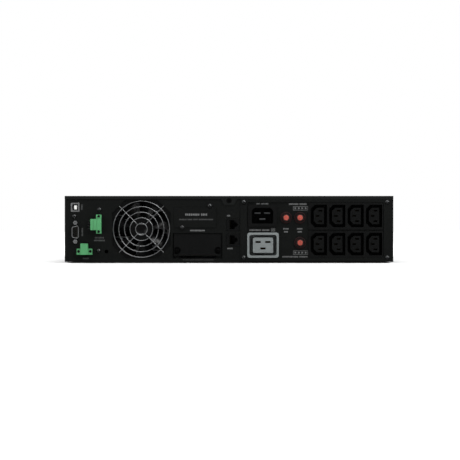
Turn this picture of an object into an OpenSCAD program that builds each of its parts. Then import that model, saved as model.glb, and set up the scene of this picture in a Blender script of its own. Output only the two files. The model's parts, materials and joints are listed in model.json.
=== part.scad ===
// Rackmount uninterruptible power supply, two rack units high.
// Frame: X across the rack, Y from the front (negative) to the rear (positive), Z up.
// Origin: middle of the width, on the underside, in the plane of the rack rails.

/* [Chassis] */
// Width across the side walls
chassis_w = 438; // [437.6:0.2:439]
// Height of the closed case
case_h = 88; // [88:0.1:88.6]
// Depth from the rack rail plane to the rear panel's outer face
case_d = 600; // [600:5:680]
// Thickness of the chassis steel
sheet = 1.2; // [1:0.1:1.2]
// Height at which the cover's side flanges end
flange_z = 77; // [76:0.5:78]
// Height at which the cover's rear lip ends
lip_z = 83.8; // [83.8:0.1:84.4]

/* [Rack mounting] */
// Overall width across the rack ears
ears_w = 482.6; // [481:0.2:483]
// Distance between the left and the right column of ear slots
ear_pitch_x = 465.1; // [464.6:0.1:465.6]
// Distance between the lower and the upper row of ear slots
ear_pitch_z = 76.2; // [76:0.1:76.4]
// Width of an ear slot
ear_slot_w = 6.8; // [6.4:0.1:7.2]
// Length of an ear slot
ear_slot_l = 12; // [10:0.5:13]
// Thickness of the ears
ear_t = 2; // [1.6:0.1:2]

/* [Fan] */
// Distance of the fan's centre from the middle of the case
fan_x = 116.8; // [116:0.1:118]
// Height of the fan's centre
fan_z = 43.6; // [43:0.1:44.2]
// Radius of the outermost ring of the wire guard
guard_r = 37.5; // [36.5:0.1:37.5]
// Thickness of the guard's wire
wire_d = 1.3; // [1.2:0.1:1.6]
// Number of fan blades
blade_count = 7; // [5:1:9]

/* [Outlets] */
// Distance between neighbouring small outlets
outlet_pitch = 24.5; // [24:0.1:25]
// How far the outlet panel's middle is pressed in
press_depth = 1.5; // [1:0.1:1.8]

/* [Battery] */
// Length of one battery block
block_l = 151; // [149:0.5:151]
// Width of one battery block, which lies flat
block_h = 65; // [63:0.5:65]
// Height of one battery block over its lid
block_w = 94; // [92:0.5:94]

/* [Front] */
// Depth of the plastic front
bezel_d = 26; // [24:1:32]
// Radius of the round display
display_r = 35; // [33:0.5:35]
// Distance of the display's centre from the middle of the case
display_x = 158; // [156:0.5:160]

/* [Hidden] */
$fn = 48;

// Gap left between parts that touch
gap = 0.05;
// Play between a panel's opening and what stands in it
slip = 0.15;
// Depth by which a cutting shape runs past a surface
past = 1;

half_w = chassis_w / 2;
// Outer face of the cover's flanges, which stand inside the side walls
flange_x = half_w - sheet - gap;
front = -2;
rear = case_d;
inner_rear = rear - sheet;
wall_top = case_h - sheet - gap;
bend_r = 1.2;

// Round-head screws of the rear panel
dome_r = 3.2;
dome_h = 2;
m3_r = 1.5;
// Flat-head screws of the chassis
flat_r = 3.6;
flat_h = 1.1;
m4_r = 2;

// Battery bay, left of the divider when seen from the front
bay_x0 = -half_w + sheet + 4;
bay_x1 = 97;
bay_back = 340;
tray_x0 = -211.4;
tray_x1 = 95.4;
tray_z = 3;
tray_back = 316;
block_gap = 0.6;
row_pitch = block_w + 7;
block_z = tray_z + sheet + 0.2;
// Underside of the straps that lie over the blocks
strap_z = block_z + block_h + 0.4;

// Rear panel positions, as [x, z]
usb_at = [205.1, 72.9];
serial_at = [204.7, 39.7];
serial_pitch = 25;
fan_at = [fan_x, fan_z];
port_screw_at = [[206.4, 60.6], [172.9, 69.7], [173.9, 14.7]];
spare_hole_at = [163.4, 13.8];
spare_hole_r = 2.5;
expansion_screw_at = [[25.5, 74.5], [62.3, 45.8]];
port_cover_screw_at = [[69.4, 15], [14.6, 15]];
outlet_screw_at = [[-19.8, 79.6], [-210.9, 79.6], [-19.8, 5.6], [-210.9, 5.6]];
tab_screw_at = [0, 81.6];
jack_at = [[-5, 49.7], [-5, 29.6]];
inlet_at = [-44.6, 61.7];
c19_at = [-45.3, 22.4];
inlet_body = [34.4, 25.6];
c19_body = [38.2, 30.2];
breaker_at = [[-76.1, 59], [-94.6, 59], [-94.6, 25.6]];
bank_x = [-205.6, -105.7];
bank_z = [[43, 79], [5.6, 41.4]];
outlet_x0 = -119.7;
outlet_z = [61.3, 23.8];
relay_hole_at = [[173.4, 60.8], [173.4, 40.3]];
epo_hole_at = [[200.2, 14.1], [184.5, 14.1]];

// Outlet panel levels along Y
panel_back = rear + gap;
panel_face = panel_back + sheet;
press_face = panel_face - press_depth;
press_back = press_face - sheet;

// Screw places on the side walls, as [y, z]
ear_screw_at = [for (y = [14, 38], z = [16, 62]) [y, z]];
cover_screw_at = [for (y = [70, rear / 2, rear - 40]) [y, (flange_z + case_h) / 2 - 0.2]];
corner_screw_at = [for (z = [20, 62]) [rear - 8, z]];
rail_pitch_y = 200;
rail_pitch_z = 40;
rail_mid = [rear / 2 + 15, 44];
rail_screw_at = [
    for (y = [-0.5, 0.5], z = [-0.5, 0.5]) rail_mid + [y * rail_pitch_y, z * rail_pitch_z]
];
rail_hole_r = 1.65;

// ---- Shapes ----

// Box between two opposite corners
module box(low, high) translate(low) cube(high - low);

// Flat outline in X and Z, drawn out from y0 to y1
module slab(y0, y1) translate([0, y1, 0]) rotate([90, 0, 0]) linear_extrude(y1 - y0) children();

// Flat outline in Y and Z, drawn out from x0 to x1
module side_slab(x0, x1) translate([x0, 0, 0]) rotate([90, 0, 90]) linear_extrude(x1 - x0) children();

// Cylinder along Y at [x, z]
module rod(at, r, y0, y1) translate([at[0], y0, at[1]]) rotate([-90, 0, 0]) cylinder(r = r, h = y1 - y0);

// Rectangle between two corners
module rect(x0, z0, x1, z1) translate([x0, z0]) square([x1 - x0, z1 - z0]);

// Rectangle around a centre
module rect_at(at, w, h) translate(at - [w / 2, h / 2]) square([w, h]);

// Rectangle with round corners
module soft_rect(x0, z0, x1, z1, r) {
    rect(x0 + r, z0, x1 - r, z1);
    rect(x0, z0 + r, x1, z1 - r);
    for (x = [x0 + r, x1 - r], z = [z0 + r, z1 - r])
        translate([x, z]) circle(r);
}

module soft_rect_at(at, w, h, r)
    soft_rect(at[0] - w / 2, at[1] - h / 2, at[0] + w / 2, at[1] + h / 2, r);

// Slot with round ends around a centre, w along the first axis and h along the second
module slot_at(at, w, h) {
    r = min(w, h) / 2;
    reach = w > h ? [w / 2 - r, 0] : [0, h / 2 - r];
    rect_at(at, max(w - 2 * r, 2 * r), max(h - 2 * r, 2 * r));
    for (s = [-1, 1])
        translate(at + s * reach) circle(r);
}

// Round holes at a list of places
module holes(places, r)
    for (p = places)
        translate(p) circle(r);

// Points of a rectangle whose corners are cut at 45 degrees, lower left corner first
function corner(p, a, b, c) = c > 0 ? [p + c * a, p + c * b] : [p];
function cut_rect(x0, z0, x1, z1, c) = concat(
    corner([x0, z0], [0, 1], [1, 0], c[0]),
    corner([x1, z0], [-1, 0], [0, 1], c[1]),
    corner([x1, z1], [0, -1], [-1, 0], c[2]),
    corner([x0, z1], [1, 0], [0, -1], c[3])
);
function cut_rect_at(at, w, h, c) =
    cut_rect(at[0] - w / 2, at[1] - h / 2, at[0] + w / 2, at[1] + h / 2, c);

// Outline with each corner of a convex polygon rounded to r
function unit(v) = v / norm(v);
function soften(p, r, steps = 5) = [
    for (i = [0 : len(p) - 1])
        let (
            before = unit(p[(i + len(p) - 1) % len(p)] - p[i]),
            after = unit(p[(i + 1) % len(p)] - p[i]),
            half = acos(before * after) / 2,
            middle = p[i] + unit(before + after) * r / sin(half),
            first = p[i] + before * r / tan(half) - middle,
            start = atan2(first[1], first[0])
        )
        for (s = [0 : steps])
            let (turn = start + (180 - 2 * half) * s / steps)
                middle + r * [cos(turn), sin(turn)]
];

// ---- Fasteners ----

// Round-head cross screw that points down, with its seat at the origin
module dome_screw(length) {
    crown = (dome_r * dome_r + dome_h * dome_h) / (2 * dome_h) * 1.02;
    difference() {
        rotate_extrude() {
            intersection() {
                translate([0, dome_h - crown]) circle(crown);
                square([dome_r, dome_h]);
            }
            translate([0, -length]) square([m3_r, length + dome_h / 2]);
        }
        cross_slot(dome_r * 0.55, dome_h - 1.1);
    }
}

// Flat-head cross screw that points down, with its top at the origin
module flat_screw(length)
    difference() {
        rotate_extrude()
            polygon([
                [0, -length], [m4_r, -length], [m4_r, -flat_h], [flat_r, 0], [0, 0]
            ]);
        cross_slot(flat_r * 0.5, -0.8);
    }

module cross_slot(reach, z)
    for (turn = [0, 90])
        rotate(turn)
            translate([-reach, -0.4, z]) cube([2 * reach, 0.8, 3]);

// Hole for a flat-head screw, in a sheet whose outer face is at the origin
module flat_seat(depth)
    translate([0, 0, -depth - past]) rotate_extrude()
        polygon([
            [0, 0], [m4_r + gap, 0], [m4_r + gap, depth + past - flat_h],
            [flat_r + gap, depth + past], [flat_r + gap, depth + 2 * past], [0, depth + 2 * past]
        ]);

// Turns what points up so that it points to the rear, the front or a side
module to_rear(x, y, z) translate([x, y, z]) rotate([-90, 0, 0]) children();
module to_front(x, y, z) translate([x, y, z]) rotate([90, 0, 0]) children();
module to_side(x, y, z) translate([x, y, z]) rotate([0, 90, 0]) children();

// Draws the same thing on both sides
module both_sides() {
    children();
    mirror([1, 0, 0]) children();
}

// ---- Chassis ----

vent_w = 3.2;
vent_l = 42;
vent_pitch = 8;
module side_vents(y0, count)
    for (i = [0 : count - 1])
        slot_at([y0 + i * vent_pitch, 43], vent_w, vent_l);

standoff_at = [
    for (x = [-198, -70, 58], y = [360, rear - 52]) [x, y]
];
board_z = 8;

module chassis_base() {
    color("#1c1e1d") {
        difference() {
            slab(front, inner_rear - gap)
                difference() {
                    soft_rect(-half_w, 0, half_w, case_h + 10, bend_r);
                    rect(-half_w + sheet, sheet, half_w - sheet, case_h + 20);
                    rect(-half_w - past, wall_top, half_w + past, case_h + 20);
                }
            side_slab(-half_w - past, half_w + past) {
                side_vents(90, 12);
                side_vents(rear - 150, 14);
                holes(ear_screw_at, m4_r + gap);
                holes(rail_screw_at, rail_hole_r);
            }
            both_sides()
                for (p = concat(corner_screw_at, cover_screw_at))
                    to_side(half_w, p[0], p[1]) flat_seat(sheet);
        }
        for (p = standoff_at)
            translate([p[0], p[1], sheet - 0.2]) cylinder(r = 3, h = board_z - gap - sheet + 0.2);
    }
}

tab_w = [22, 13];
tab_z = 75.8;
module top_cover() {
    color("#222423") difference() {
        union() {
            slab(front, panel_back)
                intersection() {
                    soft_rect(-half_w, flange_z, half_w, case_h, bend_r);
                    rect(-half_w, case_h - sheet, half_w, case_h);
                }
            both_sides()
                box([flange_x - sheet, 2, flange_z], [flange_x, inner_rear - 2, case_h - sheet + 0.2]);
            slab(panel_back, panel_face) {
                rect(-half_w, lip_z, half_w, case_h);
                polygon([
                    [-tab_w[1] / 2, tab_z], [tab_w[1] / 2, tab_z],
                    [tab_w[0] / 2, lip_z + 0.1], [-tab_w[0] / 2, lip_z + 0.1]
                ]);
            }
        }
        to_rear(tab_screw_at[0], panel_face, tab_screw_at[1]) flat_seat(sheet);
        side_slab(-half_w, half_w) holes(cover_screw_at, m4_r + gap);
    }
}

// Outline of the fan's eight-sided opening
fan_flat = 39;
fan_cut = 17.2;
module fan_opening()
    polygon(cut_rect_at(fan_at, 2 * fan_flat, 2 * fan_flat, [fan_cut, fan_cut, fan_cut, fan_cut]));

serial_w = 9.1;
serial_l = 17.2;
serial_lean = serial_w * tan(10);
// Outline of the serial port, grown by an amount on every side
module serial_outline(grow)
    translate(serial_at)
        polygon(soften([
            [-serial_w / 2 - grow, -serial_l / 2 - grow],
            [serial_w / 2 + grow, -serial_l / 2 + serial_lean - grow],
            [serial_w / 2 + grow, serial_l / 2 - serial_lean + grow],
            [-serial_w / 2 - grow, serial_l / 2 + grow]
        ], 2.4 + grow));

usb_size = [11.4, 11.9];
jack_size = [16.7, 16];
pocket = [8.8, 4.4, 75.2, 38.3];
pocket_depth = 3.4;
outlet_field = [-207.3, 4.5, -23.2, 80.6];
field_cut = [1.6, 1.6, 1.6, 1.6];

fan_face = rear - 3;
fan_depth = 25;
fan_back = fan_face - fan_depth;
fan_half = 40;
fan_hole = 71.5 / 2;
fan_hole_at = [for (x = [-1, 1], z = [-1, 1]) fan_at + fan_hole * [x, z]];

module panel_openings() {
    rect_at(usb_at, usb_size[0] + 2 * slip, usb_size[1] + 2 * slip);
    serial_outline(slip);
    holes([for (s = [-0.5, 0.5]) serial_at + [0, s * serial_pitch]], m3_r + slip);
    rect(170, 43.4, 184.5, 57.3);
    rect(187.5, 10, 197.8, 24.8);
    holes(concat(relay_hole_at, epo_hole_at), m3_r + gap);
    fan_opening();
    soft_rect(21, 49.5, 70, 69, 1);
    rect(pocket[0], pocket[1], pocket[2], pocket[3]);
    for (p = jack_at)
        rect_at(p, jack_size[0] + 2 * slip, jack_size[1] + 2 * slip);
    polygon(cut_rect(outlet_field[0], outlet_field[1], outlet_field[2], outlet_field[3], field_cut));
    translate(spare_hole_at) circle(spare_hole_r);
    holes(concat(port_screw_at, expansion_screw_at, outlet_screw_at), m3_r + gap);
    translate(tab_screw_at) circle(m4_r + gap);
}

cable_slot = [17.4, 5.5, 66.3, 7.6];
// Wall thickness of the pocket behind the battery port
rim = 0.9;
module rear_panel() {
    color("#191b1a") {
        slab(inner_rear, rear)
            difference() {
                rect(-half_w, 0, half_w, wall_top);
                panel_openings();
            }
        difference() {
            slab(rear - pocket_depth - sheet, rear - 0.1)
                rect(pocket[0] - rim, pocket[1] - rim, pocket[2] + rim, pocket[3] + rim);
            slab(rear - pocket_depth, rear + past) rect(pocket[0], pocket[1], pocket[2], pocket[3]);
            slab(rear - pocket_depth - 2 * sheet, rear) {
                soft_rect(20, 11, 64, 35, 1);
                rect(cable_slot[0], cable_slot[1], cable_slot[2], cable_slot[3]);
                holes(port_cover_screw_at, m3_r + gap);
            }
        }
        both_sides()
            difference() {
                box([flange_x - sheet, inner_rear - 12, sheet + 2], [flange_x, inner_rear, flange_z - 2]);
                for (p = corner_screw_at)
                    to_side(half_w + past, p[0], p[1])
                        translate([0, 0, -8]) cylinder(r = m4_r + gap, h = 8);
            }
        for (p = fan_hole_at) {
            rod(p, 3.4, fan_face + gap, inner_rear + 0.2);
            rod(p, 2, fan_back - 6, inner_rear);
        }
    }
}

module outlet_panel() {
    field = outlet_field + [0.15, 0.15, -0.15, -0.15];
    color("#191b1a") difference() {
        union() {
            slab(panel_back, panel_face) soft_rect(-216.7, 1.2, -15.1, 83.6, 1);
            slab(press_back, panel_face)
                polygon(cut_rect(field[0], field[1], field[2], field[3], field_cut));
        }
        slab(press_face, panel_face + past)
            polygon(cut_rect(field[0] + 0.8, field[1] + 0.8, field[2] - 0.8, field[3] - 0.8, field_cut));
        slab(press_back - past, panel_face + past) {
            holes(outlet_screw_at, m3_r + gap);
            soft_rect_at(inlet_at, inlet_body[0] + 2 * slip, inlet_body[1] + 2 * slip, 2);
            soft_rect_at(c19_at, c19_body[0] + 2 * slip, c19_body[1] + 2 * slip, 2);
            holes(breaker_at, neck_r + slip);
            for (z = bank_z)
                bank_body(z, slip);
        }
    }
}

frame_y = front + gap;
module front_frame() {
    color("#3a3d3c") slab(frame_y, frame_y + sheet)
        difference() {
            rect(-flange_x, sheet + gap, flange_x, wall_top - gap);
            rect(bay_x0, 0, bay_x1, case_h - 5);
            for (i = [0 : 3], k = [0 : 5])
                soft_rect(112 + i * 25, 10 + k * 12, 130 + i * 25, 16 + k * 12, 2);
            holes(tray_screw_at, m4_r + gap);
        }
}

divider_x = bay_x1 + 1.2;
divider_x0 = -flange_x + sheet + 2 * gap;
module bay_divider() {
    color("#8b8f90") {
        box([divider_x, 6, sheet + gap], [divider_x + sheet, bay_back + sheet, case_h - 4]);
        difference() {
            box([divider_x0, bay_back, sheet + gap], [divider_x + sheet, bay_back + sheet, case_h - 4]);
            slab(bay_back - past, bay_back + 3) {
                rect_at(dc_at, 44, 20);
                for (i = [0 : 7])
                    soft_rect(-190 + i * 34, 52, -168 + i * 34, 58, 2.5);
            }
        }
    }
}

// Side guides start behind the ear screws
guide_y = 46;
module bay_guides() {
    color("#d9d9d2") {
        for (x = [-190, 60])
            box([x, 4, sheet + gap], [x + 12, bay_back - 4, tray_z - gap]);
        box([-flange_x, guide_y, 10], [tray_x0 - 0.3, bay_back - 4, 22]);
        box([tray_x1 + 0.3, guide_y, 10], [divider_x - gap, bay_back - 4, 22]);
    }
}

module rack_ears() {
    ear_slot_places = [for (z = [-0.5, 0.5]) [ear_pitch_x / 2, case_h / 2 + z * ear_pitch_z]];
    color("#202221") both_sides() difference() {
        union() {
            box([half_w + gap, -ear_t, 3], [half_w + gap + ear_t, 52, flange_z - 1]);
            slab(-ear_t, 0) soft_rect(half_w + gap, 0, ears_w / 2, case_h, 1);
        }
        slab(-ear_t - past, past)
            for (p = ear_slot_places)
                slot_at(p, ear_slot_l, ear_slot_w);
        for (p = ear_screw_at)
            to_side(half_w + gap + ear_t, p[0], p[1]) flat_seat(ear_t);
    }
}

module chassis_screws() {
    color("#2b2d2c") {
        to_rear(tab_screw_at[0], panel_face, tab_screw_at[1]) flat_screw(6);
        both_sides() {
            for (p = ear_screw_at)
                to_side(half_w + gap + ear_t, p[0], p[1]) flat_screw(6);
            for (p = concat(corner_screw_at, cover_screw_at))
                to_side(half_w, p[0], p[1]) flat_screw(6);
        }
    }
}

module panel_screws() {
    color("#4a4c4b") {
        for (p = port_screw_at)
            to_rear(p[0], rear + gap, p[1]) dome_screw(6);
        for (p = concat(expansion_screw_at, outlet_screw_at))
            to_rear(p[0], panel_face + gap, p[1]) dome_screw(7);
        for (p = port_cover_screw_at)
            to_rear(p[0], rear - pocket_depth + 1.2 + gap, p[1]) dome_screw(7);
    }
}

// ---- Fan ----

fan_bore_r = 38;
hub_r = 17;
module fan_frame() {
    color("#161716") difference() {
        union() {
            slab(fan_back, fan_face)
                difference() {
                    soft_rect_at(fan_at, 2 * fan_half, 2 * fan_half, 4);
                    translate(fan_at) circle(fan_bore_r);
                }
            slab(fan_back, fan_back + 3) {
                translate(fan_at) circle(hub_r);
                for (turn = [25 : 90 : 295])
                    translate(fan_at) rotate(turn) translate([10, -2]) square([fan_bore_r - 9, 4]);
            }
            rod(fan_at, 4, fan_back, fan_back + 12);
        }
        rod(fan_at, m3_r + gap, fan_back - past, fan_back + 13);
        slab(fan_back - past, fan_face + past) holes(fan_hole_at, 2.15);
    }
}

// Hub with its shaft, and blades set at an angle around it
rotor_h = 17;
module fan_rotor() {
    color("#1d1f1e") to_rear(fan_at[0], fan_back + 4.5, fan_at[1]) {
        rotate_extrude()
            polygon([
                [0, -3.5], [m3_r, -3.5], [m3_r, rotor_h - 2.5], [hub_r - 1.5, rotor_h - 2.5],
                [hub_r - 1.5, 0], [hub_r, 0], [hub_r, rotor_h - 1.5], [hub_r - 1.5, rotor_h], [0, rotor_h]
            ]);
        for (i = [0 : blade_count - 1])
            rotate(360 * i / blade_count)
                intersection() {
                    difference() {
                        cylinder(r = fan_bore_r - 1.2, h = rotor_h);
                        translate([0, 0, -past]) cylinder(r = hub_r - 0.5, h = rotor_h + 2 * past);
                    }
                    translate([fan_bore_r / 2, 0, rotor_h / 2]) rotate([38, 0, 0])
                        cube([fan_bore_r, 26, 1.6], center = true);
                }
    }
}

// Concentric rings welded to two bent wires
ring_step = 7.43;
// Where the sloping part of a spoke starts, and how far from the axis it ends
spoke_bend = [5.3, 6.2];
spoke_reach = sqrt(2) * fan_flat - fan_cut / sqrt(2) - 2 * gap;
module fan_guard() {
    wire_r = wire_d / 2;
    spoke_z = -wire_d + 0.2;
    color("#d7d9da") to_rear(fan_at[0], rear - wire_r, fan_at[1]) {
        for (i = [0 : 4])
            rotate_extrude() translate([guard_r - i * ring_step, 0]) circle(wire_r, $fn = 24);
        for (flip = [0, 180])
            rotate(flip) {
                translate([-5.6, 6.5, spoke_z]) rotate([0, 90, 0])
                    cylinder(r = wire_r, h = 11.2, $fn = 24);
                for (side = [0, 1])
                    mirror([side, 0, 0])
                        translate([spoke_bend[0], spoke_bend[1], spoke_z]) rotate([0, 90, 45])
                            cylinder(r = wire_r * 0.99, h = spoke_reach - norm(spoke_bend), $fn = 24);
            }
    }
}

module fan_nuts() {
    color("#c9cbcc")
        for (p = fan_hole_at)
            difference() {
                to_rear(p[0], fan_back - 3.2, p[1]) cylinder(r = 4, h = 3.2 - gap, $fn = 6);
                rod(p, 2 + gap, fan_back - 4, fan_back + 1);
            }
}

// ---- Ports ----

module usb_shell() {
    color("#b9bcbe") difference() {
        slab(rear - 15, rear + 0.6) soft_rect_at(usb_at, usb_size[0], usb_size[1], 0.8);
        slab(rear - 13.5, rear + 2) polygon(cut_rect_at(usb_at, 7.9, 8.9, [0, 1.3, 1.3, 0]));
    }
}

module usb_tongue() {
    color("#e8e8e4") {
        slab(rear - 13.4, rear - 11) polygon(cut_rect_at(usb_at, 7.4, 8.4, [0, 1.3, 1.3, 0]));
        slab(rear - 11.1, rear - 1) soft_rect_at(usb_at + [-0.4, 0], 3.6, 5.4, 0.5);
    }
}

module serial_shell() {
    color("#c4c7c9") {
        slab(inner_rear - gap - 1, inner_rear - gap)
            difference() {
                soft_rect_at(serial_at, 12.4, 30.8, 2);
                serial_outline(-0.8);
                holes([for (s = [-0.5, 0.5]) serial_at + [0, s * serial_pitch]], m3_r + slip);
            }
        slab(inner_rear - 2 * gap, rear + 5)
            difference() {
                serial_outline(0);
                serial_outline(-0.8);
            }
    }
}

module serial_insert() {
    color("#1a1a1a") difference() {
        slab(rear - 12, rear + 4) serial_outline(-0.8 - gap);
        slab(rear - 4, rear + 6)
            for (i = [0 : 4]) {
                translate(serial_at + [-1.42, (i - 2) * 2.77]) circle(0.6, $fn = 16);
                if (i < 4)
                    translate(serial_at + [1.42, (i - 1.5) * 2.77]) circle(0.6, $fn = 16);
            }
    }
}

// Corner radius of a hexagon 5 mm across its flats
jack_nut_r = 2.5 / cos(30);
module serial_jackscrews() {
    color("#cdd0d2")
        for (s = [-0.5, 0.5])
            difference() {
                union() {
                    to_rear(serial_at[0], rear + gap, serial_at[1] + s * serial_pitch)
                        cylinder(r = jack_nut_r, h = 5, $fn = 6);
                    rod(serial_at + [0, s * serial_pitch], m3_r, rear - 7, rear + 1);
                }
                rod(serial_at + [0, s * serial_pitch], 1.4, rear + 1, rear + 6);
            }
}

plug_back = rear + 0.2;
plug_screw_r = 1.8;
module relay_plug() {
    color("#57b36b") difference() {
        union() {
            slab(plug_back, rear + 6.5) soft_rect(169.8, 37.9, 176.8, 63.1, 0.5);
            slab(plug_back, rear + 10) soft_rect(169.8, 42.5, 179.6, 57.3, 0.4);
            slab(plug_back, rear + 9) soft_rect(178, 42.5, 184.2, 57.3, 0.4);
        }
        slab(rear - past, rear + 8) holes(relay_hole_at, m3_r + gap);
        slab(rear + 4, rear + 8) holes(relay_hole_at, plug_screw_r + 0.1);
        // Wire mouths on the outer side
        for (i = [0 : 3])
            box([183, rear + 2.5, 43.2 + i * 3.6], [187, rear + 6.5, 45.6 + i * 3.6]);
        // Seam between the clamp part and the pin part
        slab(rear + 9.6, rear + 11) rect(175.2, 41, 175.7, 59);
    }
}

module epo_plug() {
    color("#57b36b") difference() {
        union() {
            slab(plug_back, rear + 6.5) soft_rect(182.1, 9.7, 202.6, 17.8, 0.5);
            slab(plug_back, rear + 10) soft_rect(187.5, 9.7, 197.4, 24.6, 0.4);
        }
        slab(rear - past, rear + 8) holes(epo_hole_at, m3_r + gap);
        slab(rear + 4, rear + 8) holes(epo_hole_at, plug_screw_r + 0.1);
        for (x = [188.6, 194])
            box([x, rear + 2.5, 23.4], [x + 2.8, rear + 6.5, 27]);
    }
}

// Flange screws and clamp tongues of both plugs
module terminal_fittings() {
    color("#3b3d3c") {
        for (p = concat(relay_hole_at, epo_hole_at))
            difference() {
                to_rear(p[0], 0, p[1]) rotate_extrude()
                    polygon([
                        [0, rear - 5], [m3_r, rear - 5], [m3_r, rear + 4 + gap],
                        [plug_screw_r, rear + 4 + gap], [plug_screw_r, rear + 5.4], [0, rear + 5.4]
                    ]);
                box([p[0] - 3, rear + 4.8, p[1] - 0.3], [p[0] + 3, rear + 6, p[1] + 0.3]);
            }
        for (i = [0 : 3])
            box([183.2, rear + 2.8, 43.5 + i * 3.6], [188.2, rear + 3.6, 45.3 + i * 3.6]);
    }
}

module terminal_headers() {
    color("#3f8f52") {
        slab(rear - 14, rear) rect(170.2, 43.6, 184.3, 57.1);
        slab(rear - 14, rear) rect(187.7, 10.2, 197.6, 24.6);
    }
}

// Upright boards behind the ports, the network jacks and beside the air channel
module signal_boards() {
    color("#1f5b3a") {
        box([211.4, rear - 72, 20], [213, inner_rear - 14, 82]);
        box([167.4, rear - 62, 20], [169, inner_rear - 4, 66]);
        box([180, rear - 62, 6.4], [206, inner_rear - 4, 8]);
        box([4.2, rear - 62, 16], [5.8, inner_rear - 4, 62]);
        box([205, 60, 8], [206.6, 330, 80]);
    }
    color("#222422") {
        for (k = [0 : 3])
            box([202.6, 80 + k * 58, 28], [205.2, 110 + k * 58, 50]);
        box([209.2, rear - 60, 34], [211.6, rear - 40, 54]);
    }
}

// Two network jacks, turned so that the latch faces away from the board
module network_jacks() {
    color("#1b1b1c")
        for (p = jack_at)
            difference() {
                slab(rear - 21, rear + 0.8) soft_rect_at(p, jack_size[0], jack_size[1], 0.6);
                slab(rear - 13, rear + 2) {
                    rect(p[0] - 2.6, p[1] - 5.9, p[0] + 4.3, p[1] + 5.9);
                    rect(p[0] - 5, p[1] - 3.1, p[0] - 2.5, p[1] + 3.1);
                    rect(p[0] - 6.4, p[1] - 1.7, p[0] - 4.9, p[1] + 1.7);
                }
            }
}

module expansion_cover() {
    color("#1d1f1e") slab(panel_back, panel_face)
        difference() {
            union() {
                soft_rect(17.6, 45.9, 73.4, 72.4, 0.8);
                for (p = expansion_screw_at)
                    translate(p) circle(4);
            }
            holes(expansion_screw_at, m3_r + gap);
        }
}

port_cover = [10.7, 8.3, 73.4, 37];
module battery_port_cover() {
    floor_y = rear - pocket_depth;
    color("#1d1f1e") difference() {
        slab(floor_y + gap, rear - 0.3)
            soft_rect(port_cover[0], port_cover[1], port_cover[2], port_cover[3], 0.6);
        slab(floor_y + 1.2, rear + past) {
            for (side = [0, 1])
                intersection() {
                    translate(port_cover_screw_at[side]) circle(5);
                    rect(port_cover[0] + 0.6 * side, 0, port_cover[2] - 0.6 * (1 - side), 30);
                }
        }
        slab(floor_y - past, rear) holes(port_cover_screw_at, m3_r + gap);
    }
}

// Receptacles for the battery tray and for outside battery cabinets
dc_at = [-10, 30];
module dc_connectors() {
    color("#2a2c2b") {
        difference() {
            box([24, rear - 48, 13], [60, rear - pocket_depth - sheet - gap, 33]);
            for (x = [28, 44])
                box([x, rear - 20, 17], [x + 12, rear, 29]);
        }
        difference() {
            union() {
                slab(bay_back + sheet + gap, bay_back + 4) rect_at(dc_at, 54, 26);
                slab(bay_back - 0.5, bay_back + 34) rect_at(dc_at, 43.6, 19.6);
            }
            slab(bay_back - past, bay_back + 24) rect_at(dc_at, 38, 14);
        }
    }
}

// ---- Outlets ----

inlet_pin_at = [inlet_at + [6.5, 3.4], inlet_at + [-6.5, 3.4], inlet_at + [0, -4.6]];
module ac_inlet() {
    color("#1a1b1b") difference() {
        union() {
            slab(press_face + gap, press_face + 2.2) soft_rect_at(inlet_at, 38.4, 29.6, 2);
            slab(rear - 32, press_face + past) soft_rect_at(inlet_at, inlet_body[0], inlet_body[1], 1.6);
        }
        slab(rear - 22, press_face + 4)
            polygon(soften(cut_rect_at(inlet_at, 28.3, 21, [0.8, 0.8, 3.6, 3.6]), 0.6));
        slab(rear - 40, rear)
            for (p = inlet_pin_at)
                rect_at(p, 8 + 2 * gap, 2 + 2 * gap);
    }
}

module inlet_pins() {
    color("#b8babb") {
        for (p = inlet_pin_at)
            slab(rear - 40, rear - 3.5) rect_at(p, 8, 2);
    }
}

c19_slots = [c19_at + [6.5, 4.2], c19_at + [-6.5, 4.2], c19_at + [0, -4.4]];
c19_slot = [7.2, 2.6];
c19_face = press_face + 3;
// Outer size of the ring-shaped recess, and size of the block inside it
c19_ring = [36.4, 27.6];
c19_block = [26.9, 20.4];
module outlet_c19() {
    color("#858b8b") difference() {
        union() {
            slab(press_face + gap, c19_face) soft_rect_at(c19_at, 42, 33.6, 3.3);
            slab(rear - 30, press_face + past) soft_rect_at(c19_at, c19_body[0], c19_body[1], 1.8);
        }
        slab(rear - 18, c19_face + past)
            difference() {
                soft_rect_at(c19_at, c19_ring[0], c19_ring[1], 3);
                polygon(soften(cut_rect_at(c19_at, c19_block[0], c19_block[1], [0.8, 0.8, 1.6, 1.6]), 0.6));
            }
        slab(c19_face - 0.5, c19_face + past) soft_rect_at(c19_at, c19_ring[0] - 1, c19_ring[1] - 1, 2.6);
        slab(rear - 24, c19_face + past)
            for (p = c19_slots)
                rect_at(p, c19_slot[0], c19_slot[1]);
        slab(rear - 24, c19_face - 3)
            for (p = c19_slots)
                rect_at(p, c19_slot[0] + 0.4, c19_slot[1] + 1.6);
        slab(rear - 32, rear - 20)
            for (p = c19_slots)
                rect_at(p, 3.4, 1);
    }
}

// Slot places in one small outlet: two poles and the earth
function c13_slots(at) = [at + [-1.9, 7], at + [-1.9, -7], at + [1.8, 0]];
function outlets(row) = [for (i = [0 : 3]) [outlet_x0 - i * outlet_pitch, outlet_z[row]]];
c13_slot = [5, 2.2];
c13_cut = 5.5;
bank_face = press_face + 1.6;
bank_edge = 1.6;

// Outline of a bank behind its flange, grown by an amount on every side
module bank_body(z, grow) {
    edge = bank_edge - grow;
    rect(bank_x[0] + edge, z[0] + edge, bank_x[1] - edge, z[1] - edge);
}

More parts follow.
